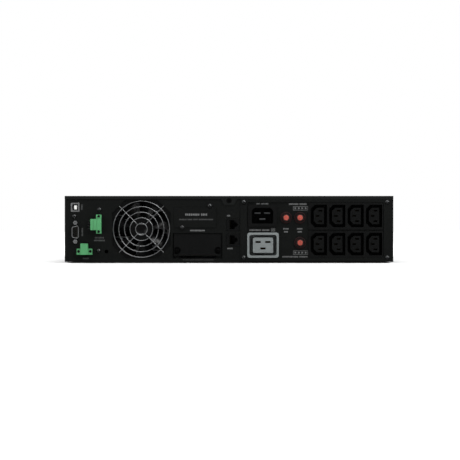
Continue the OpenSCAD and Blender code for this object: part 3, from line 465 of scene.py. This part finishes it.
def lathe(bm, centre, profile, steps=48, slot=0):
    """Solid turned about a line along Y: profile holds (radius, y) from one end of the axis to the other."""
    rings = []
    for radius, y in profile:
        if radius < 1e-6:
            rings.append([bm.verts.new((centre[0], y, centre[2]))])
            continue
        rings.append([
            bm.verts.new((centre[0] + radius * math.cos(2 * math.pi * k / steps), y,
                          centre[2] + radius * math.sin(2 * math.pi * k / steps)))
            for k in range(steps)
        ])
    for a, b in zip(rings, rings[1:]):
        for k in range(steps):
            j = (k + 1) % steps
            corners = [a[k % len(a)], a[j % len(a)], b[j % len(b)], b[k % len(b)]]
            unique = list(dict.fromkeys(corners))
            if len(unique) > 2:
                bm.faces.new(unique).material_index = slot


# ---- CAD nodes: materials and small true bevels ----

BEVELS = {  # millimetres
    "expansion_cover": 0.25, "battery_blocks": 0.5, "relays": 0.5, "transformer": 0.5, "inlet_pins": 0.3,
}


def soften_edges(node, width):
    """Rounds every edge of a simple boxy node."""
    weld = node.modifiers.new("weld", "WELD")
    weld.merge_threshold = 0.002 * MM
    flat = node.modifiers.new("flat", "DECIMATE")
    flat.decimate_type = "DISSOLVE"
    flat.angle_limit = math.radians(0.5)
    bevel = node.modifiers.new("bevel", "BEVEL")
    bevel.width = width * MM
    bevel.segments = 2
    bevel.limit_method = "ANGLE"
    bevel.angle_limit = math.radians(35)
    node.modifiers.new("normals", "WEIGHTED_NORMAL")


def paint_faces(node, material, chosen):
    """Gives a second material to the faces that chosen picks by their centre."""
    node.data.materials.append(material)
    for face in node.data.polygons:
        if chosen(face.center):
            face.material_index = 1


def dress_cad():
    slots = {row["node"]: row["material_slot"] for row in RECORD["subparts"]}
    for name, node in NODES.items():
        node.data.materials.clear()
        node.data.materials.append(MATERIALS[slots[name]])
        if name in BEVELS:
            soften_edges(node, BEVELS[name])
    shade_recesses()
    shade_ports()
    shade_breakers()


def shade_recesses():
    """Makes the deep screws and finger scallops black, as they are in shade."""
    low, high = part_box("battery_port_cover")
    scallop_top = 21.5 * MM
    paint_faces(NODES["panel_screws"], SHADOW, lambda p: low.x < p.x < high.x and p.z < high.z)
    paint_faces(NODES["battery_port_cover"], SHADOW,
                lambda p: p.y < high.y - 0.3 * MM and p.z < scallop_top)
    # The one chassis screw that shows in the rear face is in the cover's middle tab
    paint_faces(NODES["chassis_screws"], SHADOW,
                lambda p: abs(p.x) < 5 * MM and p.y > REAR - 3 * MM and p.z > 75 * MM)


def shade_ports():
    """Paints shade deep inside the inlet and the USB port: the inlet pins and the white base of the USB
    tongue get dark steel, as they lie in shade.
    """
    # Painted shade on the inlet pins and on the USB tongue's white base
    paint_faces(NODES["inlet_pins"], PORT_SHADE_STEEL, lambda p: True)
    paint_faces(NODES["usb_tongue"], PORT_SHADE_STEEL, lambda p: p.y < REAR - 10.5 * MM)


def shade_breakers():
    """Paints shade on the rim of each red cap, in a dark red that stands for the cap's skirt in shade, and
    tints the collars around them.
    """
    rim_r = 3.55 * MM
    for k in (1, 2, 3):
        button = f"breaker_button_{k}"
        centre = middle(button)
        # Painted shade: the cap's faces outside rim_r get the dark red
        paint_faces(NODES[button], CAP_RIM_SHADE,
                    lambda p: math.hypot(p.x - centre.x, p.z - centre.z) > rim_r)
    paint_faces(NODES["breaker_collars"], COLLAR, lambda p: p.y > REAR)


# ---- Fan ----

GUARD_RINGS = 5
BLADES = 7
BLADE_ROWS, BLADE_COLUMNS = 8, 10
BLADE_THICK = 0.7 * MM
HUB_R, TIP_R = 17 * MM, 36.6 * MM


def wire_guard():
    """Five wire rings on two bent spokes."""
    wire, spoke = 0.55 * MM, 0.45 * MM
    ring_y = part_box("fan_guard")[1].y - wire
    spoke_y = ring_y - wire - spoke + 0.06 * MM
    outer, step = 37.5 * MM, 7.43 * MM
    centre = Vector((FAN.x, ring_y, FAN.z))
    bm = bmesh.new()
    for k in range(GUARD_RINGS):
        tube(bm, ring_points(centre, outer - k * step, 96 - 12 * k), wire, 12, closed=True)
    # Each spoke is level for 2 * half above or below the hub, then runs out at 45 degrees
    half, rise, reach = 5.3 * MM, 6.5 * MM, 29.7 * MM
    for up in (1, -1):
        path = [
            (FAN.x - reach, spoke_y, FAN.z + up * (rise + reach - half)),
            (FAN.x - half, spoke_y, FAN.z + up * rise),
            (FAN.x + half, spoke_y, FAN.z + up * rise),
            (FAN.x + reach, spoke_y, FAN.z + up * (rise + reach - half)),
        ]
        tube(bm, bent(path, 3.5 * MM), spoke, 12)
    put("wire_guard", bm, [MATERIALS["chrome_wire"]], ROOT, ("fan_guard",))


def blade_sheet(bm, start, back, face, side):
    """One side of a blade: rows of points from the hub out to the tip."""
    sheet = []
    for r in range(BLADE_ROWS + 1):
        out = r / BLADE_ROWS
        radius = HUB_R - 0.6 * MM + (TIP_R - HUB_R + 0.6 * MM) * out
        sweep = math.radians(41 - 4 * out)
        lean = math.radians(9) * out ** 2
        depth = (face - back - 2.6 * MM) * (1 - 0.16 * out)
        line = []
        for c in range(BLADE_COLUMNS + 1):
            along = c / BLADE_COLUMNS
            turn = start + lean + sweep * (along - 0.5)
            camber = 1.5 * MM * math.sin(math.pi * along)
            edge = math.sin(math.pi * min(max(along, 0.03), 0.97)) ** 0.4
            y = (back + face) / 2 + depth * (along - 0.5) + camber
            y += side * BLADE_THICK * edge * 0.5
            place = (FAN.x + radius * math.cos(turn), y, FAN.z + radius * math.sin(turn))
            line.append(bm.verts.new(place))
        sheet.append(line)
    return sheet


def blade(bm, start, back, face):
    front, rear = [blade_sheet(bm, start, back, face, side) for side in (1, -1)]
    for r in range(BLADE_ROWS):
        for c in range(BLADE_COLUMNS):
            for sheet in (front, rear):
                bm.faces.new((sheet[r][c], sheet[r][c + 1], sheet[r + 1][c + 1], sheet[r + 1][c]))
    for c in range(BLADE_COLUMNS):
        for r in (0, BLADE_ROWS):
            bm.faces.new((front[r][c], front[r][c + 1], rear[r][c + 1], rear[r][c]))
    for r in range(BLADE_ROWS):
        for c in (0, BLADE_COLUMNS):
            bm.faces.new((front[r][c], front[r + 1][c], rear[r + 1][c], rear[r][c]))


def fan_rotor():
    """Hub on its shaft, with seven swept blades."""
    low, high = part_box("fan_rotor")
    back, face = low.y + 4 * MM, high.y
    shaft_r, wall = 1.5 * MM, 1.6 * MM
    bm = bmesh.new()
    lathe(bm, FAN, [
        (0, low.y), (shaft_r, low.y), (shaft_r, face - 3 * MM), (HUB_R - wall, face - 3 * MM),
        (HUB_R - wall, back), (HUB_R, back), (HUB_R, face - wall), (HUB_R - 0.5 * MM, face - 0.5 * MM),
        (HUB_R - 1.7 * MM, face), (7 * MM, face), (6.6 * MM, face - 0.35 * MM), (0, face - 0.35 * MM),
    ], 64)
    for k in range(BLADES):
        blade(bm, 2 * math.pi * k / BLADES, back, face)
    put("fan_blades", bm, [MATERIALS["gloss_black"]], "fan_rotor", ("fan_rotor",), 50)


# ---- Printed marks: bars stand for words, so nothing is spelled ----

INK_THICK = 0.05 * MM


def mm(*values):
    return [v * MM for v in values]


def words(bm, centre, widths, height, face, slot=0, upright=False):
    """A line of bars, one for each word, each split into blocks like letters."""
    gap = height * 0.55
    total = sum(widths) + gap * (len(widths) - 1)
    at = total / 2
    for width in widths:
        count = max(2, round(width / (height * 0.78)))
        pitch = width / count
        for k in range(count):
            along = at - pitch * (k + 0.5)
            block = pitch * 0.72
            tall = height * (1.0 if (k * 7 + count) % 3 else 0.86)
            if upright:
                place, size = (centre[0], centre[1] + along), (tall, block)
            else:
                place, size = (centre[0] + along, centre[1]), (block, tall)
            outline = round_rect(place, size, min(size) * 0.28, 2)
            prism(bm, outline, face - INK_THICK * 0.2, face + INK_THICK, slot)
        at -= width + gap


def print_marks():
    marks_panel()
    marks_battery_port()
    marks_expansion()
    marks_outlets()


def marks_panel():
    """Names of the ports, the plugs and the two covers."""
    bm = bmesh.new()
    words(bm, mm(196.2, 73.2), mm(7.2), 2.3 * MM, REAR, 1, True)
    words(bm, mm(195.6, 39.6), mm(11), 2.3 * MM, REAR, 1, True)
    words(bm, mm(172.9, 32.3), mm(12.4), 2.2 * MM, REAR, 1)
    words(bm, mm(172.9, 28.7), mm(14.8), 2.2 * MM, REAR, 1)
    words(bm, mm(190.9, 4.7), mm(8.4), 2.1 * MM, REAR, 1)
    words(bm, mm(42.2, 41.9), mm(20), 2.2 * MM, REAR, 0)
    words(bm, mm(0.6, 61.7), mm(4.4), 2.1 * MM, REAR, 0)
    words(bm, mm(-1.3, 18.0), mm(7.4), 2.1 * MM, REAR, 0)
    put("marks_panel", bm, [INK, DIM_INK], ROOT)


def marks_battery_port():
    bm = bmesh.new()
    words(bm, mm(41, 2.7), mm(16, 10, 14), 1.7 * MM, REAR)
    put("marks_battery_port", bm, [FAINT_INK], ROOT)


def marks_expansion():
    bm = bmesh.new()
    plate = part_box("expansion_cover")[1].y
    words(bm, mm(43.8, 63.1), mm(19.5, 8.6), 3.0 * MM, plate)
    words(bm, mm(43.8, 56.6), mm(10, 6.5, 6.2, 19.5), 1.9 * MM, plate, 1)
    put("marks_expansion", bm, [INK, DIM_INK], ROOT)


def marks_outlets():
    # The outlet panel's pressed middle lies a little behind its border
    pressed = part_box("outlet_c19")[1].y - 3 * MM
    bm = bmesh.new()
    words(bm, mm(-44.6, 77.5), mm(4.4, 10.4), 2.2 * MM, pressed)
    words(bm, mm(-40.4, 42.4), mm(15.5, 10.3), 2.2 * MM, pressed)
    # Grid of six small boxes beside the large outlet's name
    for col in (-1, 1):
        for row in (-1, 0, 1):
            frame_outline(bm, mm(-58.7 + 1.4 * col, 42.6 + 1.7 * row), mm(2.6, 1.5), 0.3 * MM,
                          pressed, pressed + INK_THICK)
    words(bm, mm(-91.5, 77.2), mm(13, 9.6), 2.1 * MM, pressed)
    words(bm, mm(-87.8, 6.9), mm(21.5, 11.2), 2.1 * MM, pressed)
    # Framed row of four marks for each bank of outlets
    for z in (71.6, 12.4):
        frame_outline(bm, mm(-95.3, z), mm(19.6, 5.4), 0.45 * MM, pressed, pressed + INK_THICK)
        for k in range(4):
            words(bm, mm(-88.4 - 4.6 * k, z), mm(2.4), 2.6 * MM, pressed)
    # Two lines under the breakers
    for x in (-75.9, -94.2):
        words(bm, mm(x, 44.2), mm(7.6), 2.0 * MM, pressed)
        words(bm, mm(x, 40.2), mm(5.6), 2.0 * MM, pressed)
    put("marks_outlets", bm, [INK], ROOT)


# ---- Small parts in the ports ----

def port_contacts():
    """Spring wires in the network jacks and leaves on the USB tongue."""
    bm = bmesh.new()
    low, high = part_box("network_jacks")
    jack_h, wires, pitch = 16 * MM, 8, 1.27 * MM
    x = (low.x + high.x) / 2 + 3.6 * MM
    for z in (low.z + jack_h / 2, high.z - jack_h / 2):
        for k in range(wires):
            at = z + (k - (wires - 1) / 2) * pitch
            path = [(x, high.y - 2 * MM, at), (x - 0.3 * MM, high.y - 4 * MM, at),
                    (x - 2.6 * MM, high.y - 11 * MM, at)]
            tube(bm, bent(path, 1 * MM, 3), 0.24 * MM, 6)
    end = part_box("usb_tongue")[1].y
    mid = middle("usb_tongue")
    for side in (-1, 1):
        for k in (-1, 1):
            place = (mid.x - 0.4 * MM + side * 1.85 * MM, mid.z + k * 1.5 * MM)
            prism(bm, round_rect(place, mm(0.2, 1.2), 0.04 * MM, 1), end - 7 * MM, end - 0.6 * MM)
    put("port_contacts", bm, [CONTACT], ROOT)


def serial_sleeves():
    """Metal rims around the nine contact holes."""
    bm = bmesh.new()
    centre = middle("serial_insert")
    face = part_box("serial_insert")[1].y
    pitch, half_row = 2.77 * MM, 1.42 * MM
    for i in range(5):
        for side, shift in ((-1, 0.0), (1, 0.5)):
            if side == 1 and i == 4:
                continue
            at = Vector((centre.x + side * half_row, face, centre.z + (i - 2 + shift) * pitch))
            tube(bm, ring_points(at, 0.68 * MM, 20), 0.12 * MM, 6, closed=True)
    put("serial_sleeves", bm, [CONTACT], ROOT)


# ---- Front: screen marks, lamps and trims ----

def screen():
    """Two bar graphs, three lines and a frame."""
    low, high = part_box("display_window")
    face, deep = low.y - 0.02 * MM, low.y + 0.05 * MM
    x, z = (low.x + high.x) / 2, (low.z + high.z) / 2
    bm = bmesh.new()
    for k in range(5):
        height = (4.0 + 2.0 * k) * MM
        for side in (-1, 1):
            place = (x + side * (7.5 + 2.9 * k) * MM, low.z + 4 * MM + height / 2)
            prism(bm, round_rect(place, (2.0 * MM, height), 0.4 * MM, 2), face, deep)
    for up, width in ((3.2, 9.5), (-0.4, 7.0), (-4.0, 9.5)):
        prism(bm, round_rect((x, z + up * MM), (width * MM, 1.5 * MM), 0.5 * MM, 2), face, deep)
    frame_outline(bm, (x, z), (42 * MM, 23.4 * MM), 0.35 * MM, face, deep)
    put("screen_segments", bm, [SEGMENTS], "display")


def display_trim():
    """Bright ring set in the edge of the round display."""
    centre = middle("display_housing")
    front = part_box("display_housing")[0].y
    bm = bmesh.new()
    at = Vector((centre.x, front - 0.05 * MM, centre.z))
    tube(bm, ring_points(at, 32.7 * MM, 128), 0.42 * MM, 10, closed=True)
    put("display_trim", bm, [MATERIALS["nickel"]], "display")


def power_symbol():
    """Open ring and bar on the power button."""
    centre = middle("power_button")
    at = Vector((centre.x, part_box("power_button")[0].y - 0.03 * MM, centre.z))
    radius, line, steps = 2.0 * MM, 0.2 * MM, 24
    arc = []
    for k in range(steps + 1):
        turn = math.radians(-240 + 300 * k / steps)
        arc.append(at + Vector((radius * math.cos(turn), 0, radius * math.sin(turn))))
    bm = bmesh.new()
    tube(bm, arc, line, 6)
    tube(bm, [at + Vector((0, 0, 0.4 * MM)), at + Vector((0, 0, 2.6 * MM))], line, 6)
    put("power_symbol", bm, [INK], "power_button")


def status_lamps():
    """Three domed lamps above the power button."""
    centre = middle("power_button")
    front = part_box("front_bezel")[0].y
    bm = bmesh.new()
    for k in range(3):
        lathe(bm, (centre.x, 0, centre.z + (15 + 6 * k) * MM), [
            (0, front - 0.35 * MM), (0.8 * MM, front - 0.25 * MM), (1.3 * MM, front + 0.1 * MM),
            (1.3 * MM, front + 1.0 * MM), (0, front + 1.0 * MM)], 24)
    put("status_lamps", bm, [GREEN_LAMP], ROOT)


# ---- Wires and windings ----

def battery_harness():
    """Links between the battery blocks, and leads from the last row to the plug."""
    tabs_low, tabs_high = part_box("battery_terminals")
    z = (tabs_low.z + tabs_high.z) / 2
    start_z = z + 0.6 * MM
    pitch = (tabs_high.y - tabs_low.y - 5 * MM) / 2
    rows = [tabs_low.y + 2.5 * MM + k * pitch for k in range(3)]
    left, mid_left = tabs_low.x + 3.1 * MM, tabs_low.x + 126.1 * MM
    mid_right, right = tabs_high.x - 126.1 * MM, tabs_high.x - 3.1 * MM
    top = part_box("battery_blocks")[1].z + 2.4 * MM
    wire = 1.5 * MM
    bm = bmesh.new()
    for y in rows:
        path = [(mid_left, y, start_z), (mid_left, y, z + 9 * MM), (mid_right, y, z + 9 * MM),
                (mid_right, y, start_z)]
        tube(bm, bent(path, 6 * MM), wire, 10, slot=1)
    for a, b in zip(rows, rows[1:]):
        path = [(right, a, start_z), (right, a, top), (right - 6 * MM, b, top), (right, b, start_z)]
        tube(bm, bent(path, 5 * MM), wire, 10, slot=1)
    plug = middle("battery_plug")
    plug_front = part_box("battery_plug")[0].y
    last = rows[2]
    for slot, x, side in ((0, left, -1), (1, right, 1)):
        plug_x = plug.x + side * 9 * MM
        path = [(x, last, start_z), (x, last + 1 * MM, z + 14 * MM), (plug_x, last + 2 * MM, z + 14 * MM),
                (plug_x, plug_front - 0.2 * MM, plug.z + 4 * MM)]
        tube(bm, bent(path, 6 * MM), wire, 10, slot=slot)
    put("battery_harness", bm, [RED_WIRE, BLACK_WIRE], "battery_tray")


def inner_wires():
    """Leads from the power board to the outlets and the fan."""
    bm = bmesh.new()
    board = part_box("power_board")[1]
    outlet_leads(bm, board)
    fan_leads(bm, board)
    put("inner_wires", bm, [RED_WIRE, BLACK_WIRE], ROOT)


def outlet_leads(bm, board):
    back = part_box("outlet_bank_upper")[0].y
    outlet_pitch, row_gap = 24.5 * MM, 2.6 * MM
    for row, node in enumerate(("outlet_bank_upper", "outlet_bank_lower")):
        low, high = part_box(node)
        drop = board.z + 2 * MM + row_gap * row
        for k in range(4):
            x = high.x - 14 * MM - outlet_pitch * k
            for slot, shift in ((0, 7 * MM), (1, -7 * MM)):
                z = (low.z + high.z) / 2 + shift
                path = [(x - 1.9 * MM, back - 7 * MM, z), (x - 1.9 * MM, back - 16 * MM - 3 * MM * k, z),
                        (x + 3 * MM, board.y - 18 * MM, drop), (x + 3 * MM, board.y - 40 * MM, drop)]
                tube(bm, bent(path, 8 * MM), 1.2 * MM, 8, slot=slot)


def fan_leads(bm, board):
    fan_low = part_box("fan_frame")[0]
    for slot, shift in ((0, 0), (1, 2.4 * MM)):
        exit_z, board_z = fan_low.z + 6 * MM + shift, board.z + 2 * MM + shift
        path = [(fan_low.x + 4 * MM, fan_low.y - 0.5 * MM, exit_z),
                (fan_low.x + 4 * MM, fan_low.y - 8 * MM, exit_z),
                (fan_low.x - 10 * MM, board.y - 20 * MM, board_z),
                (fan_low.x - 24 * MM, board.y - 40 * MM, board_z)]
        tube(bm, bent(path, 6 * MM), 0.8 * MM, 8, slot=slot)


def choke_windings():
    """Turns of wire around each ring core."""
    low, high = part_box("chokes")
    width, turns, steps = 50 * MM, 26, 20
    bm = bmesh.new()
    for x in (low.x + width / 2, high.x - width / 2):
        centre = Vector((x, (low.y + high.y) / 2, (low.z + high.z) / 2))
        for k in range(turns):
            angle = math.radians(25) + math.radians(310) * k / (turns - 1)
            out = Vector((math.cos(angle), math.sin(angle), 0))
            ring = []
            for s in range(steps):
                t = 2 * math.pi * s / steps
                radial = 18 * MM + 7.9 * MM * squared(math.cos(t))
                rise = 12.9 * MM * squared(math.sin(t))
                ring.append(centre + out * radial + Vector((0, 0, rise)))
            tube(bm, ring, 0.8 * MM, 6, closed=True)
    put("choke_windings", bm, [MATERIALS["copper_winding"]], ROOT)


def squared(share):
    """Pushes a sine outwards, so that a circle becomes a rounded square."""
    return math.copysign(abs(share) ** 0.6, share)


def board_parts():
    """Small parts soldered to the power board, in a rear strip and a front one."""
    low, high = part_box("power_board")
    rear_strip = (high.y - 32 * MM, high.y - 8 * MM)
    front_strip = (low.y + 66 * MM, low.y + 78 * MM)
    bm = bmesh.new()
    for k in range(34):
        x = random.uniform(low.x + 12 * MM, high.x - 12 * MM)
        y = random.uniform(*(rear_strip if k % 2 else front_strip))
        w, h = random.uniform(2, 6) * MM, random.uniform(2, 7) * MM
        tall = random.uniform(2, 8) * MM
        verts = prism(bm, round_rect((0, 0), (w, h), 0.4 * MM, 2), 0, tall, k % 3)
        stand = Matrix.Translation((x, y, high.z)) @ Matrix.Rotation(math.radians(90), 4, "X")
        bmesh.ops.transform(bm, matrix=stand, verts=verts)
    put("board_parts", bm, [MATERIALS["black_plastic"], MATERIALS["nickel"], MATERIALS["brown_plastic"]],
        ROOT)


# ---- Floor, light and camera ----

def floor_paper():
    """White paper that glows with distance, so that it stays white far away and dark under the case."""
    s = Shader("floor_paper", (0.86, 0.86, 0.86), 0.9, specular=0.1)
    s.mottle(0.5, 0.01)
    reach = s.node("ShaderNodeVectorMath")
    reach.operation = "LENGTH"
    s.link(s.place, reach.inputs[0])
    s.set("Emission Color", (1, 1, 1, 1))
    glow = s.node("ShaderNodeMath")
    s.link(s.spread(reach.outputs["Value"], 0, 0.14, (0.40, 0.62)), glow.inputs[0])
    s.link(s.spread(reach.outputs["Value"], 0, 0.64, (0.50, 2.2)), glow.inputs[1])
    s.link(glow.outputs[0], s.surface.inputs["Emission Strength"])
    return s.material


# The narrow gap under the case makes the dark line along its base
FLOOR_GAP = 1.45 * MM


def floor():
    """Wide pale floor. It isn't seen in reflections, which would light the dark case from below."""
    mesh = bpy.data.meshes.new("floor")
    bm = bmesh.new()
    bmesh.ops.create_grid(bm, x_segments=8, y_segments=8, size=40)
    bm.to_mesh(mesh)
    bm.free()
    mesh.materials.append(floor_paper())
    piece = bpy.data.objects.new("floor", mesh)
    piece.location = (0, REAR / 2, CASE_LOW.z - FLOOR_GAP)
    piece.visible_glossy = False
    bpy.context.scene.collection.objects.link(piece)


def surroundings():
    """A white backdrop for the camera, and a room that is dim level with the case and bright overhead."""
    world = bpy.data.worlds.new("studio")
    bpy.context.scene.world = world
    world.use_nodes = True
    tree = world.node_tree
    backdrop, room = tree.nodes["Background"], tree.nodes.new("ShaderNodeBackground")
    backdrop.inputs["Color"].default_value = (1, 1, 1, 1)
    backdrop.inputs["Strength"].default_value = 1.0
    room.inputs["Color"].default_value = (1, 1, 1, 1)
    place, parts = tree.nodes.new("ShaderNodeTexCoord"), tree.nodes.new("ShaderNodeSeparateXYZ")
    height = tree.nodes.new("ShaderNodeMapRange")
    height.inputs["From Min"].default_value = 0.2
    height.inputs["From Max"].default_value = 0.9
    height.inputs["To Min"].default_value = 0.17
    height.inputs["To Max"].default_value = 0.75
    tree.links.new(place.outputs["Generated"], parts.inputs[0])
    tree.links.new(parts.outputs["Z"], height.inputs["Value"])
    tree.links.new(height.outputs["Result"], room.inputs["Strength"])
    path, blend = tree.nodes.new("ShaderNodeLightPath"), tree.nodes.new("ShaderNodeMixShader")
    tree.links.new(path.outputs["Is Camera Ray"], blend.inputs[0])
    tree.links.new(room.outputs[0], blend.inputs[1])
    tree.links.new(backdrop.outputs[0], blend.inputs[2])
    tree.links.new(blend.outputs[0], tree.nodes["World Output"].inputs["Surface"])


def softbox(name, place, target, size, power):
    data = bpy.data.lights.new(name, "AREA")
    data.shape = "RECTANGLE"
    data.size, data.size_y = size
    data.energy = power
    lamp = bpy.data.objects.new(name, data)
    lamp.location = place
    lamp.rotation_euler = (target - Vector(place)).to_track_quat("-Z", "Y").to_euler()
    bpy.context.scene.collection.objects.link(lamp)


def lights():
    rear = Vector((0, REAR, 0.05))
    softbox("key", (-1.3, REAR + 1.6, 1.5), rear, (0.9, 0.9), 20)
    softbox("fill", (1.6, REAR + 1.5, 0.7), rear, (1.2, 1.2), 7)
    softbox("strip", (-0.5, REAR + 0.8, 1.9), rear, (2.2, 0.35), 9)
    softbox("top", (0, REAR - 0.3, 2.2), Vector((0, REAR - 0.3, 0)), (1.6, 1.6), 24)
    front = Vector((0, CASE_LOW.y, 0.05))
    softbox("front_key", (1.3, CASE_LOW.y - 1.6, 1.3), front, (1.0, 1.0), 24)
    softbox("front_fill", (-1.7, CASE_LOW.y - 1.2, 0.8), front, (1.2, 1.2), 9)
    for name, side in (("left_side", -1), ("right_side", 1)):
        wall = Vector((side * 0.2, REAR / 2, 0.05))
        softbox(name, (side * 2.2, REAR / 2, 0.9), wall, (1.4, 1.2), 8)


def rear_camera():
    """Straight on to the rear face, which fills 0.714 of the frame's width."""
    distance, shown_width = 2.4, 0.6132
    data = bpy.data.cameras.new("camera")
    data.sensor_width = 36
    data.lens = data.sensor_width * distance / shown_width
    data.clip_end = 50
    camera = bpy.data.objects.new("camera", data)
    camera.location = (-0.0013, REAR + distance, 0.0426)
    camera.rotation_euler = (math.radians(90), 0, math.radians(180))
    bpy.context.scene.collection.objects.link(camera)
    bpy.context.scene.camera = camera


def studio():
    bpy.context.scene.view_settings.view_transform = "Standard"
    surroundings()
    floor()
    lights()
    rear_camera()


dress_cad()
wire_guard()
fan_rotor()
print_marks()
port_contacts()
serial_sleeves()
screen()
display_trim()
power_symbol()
status_lamps()
battery_harness()
inner_wires()
choke_windings()
board_parts()
studio()
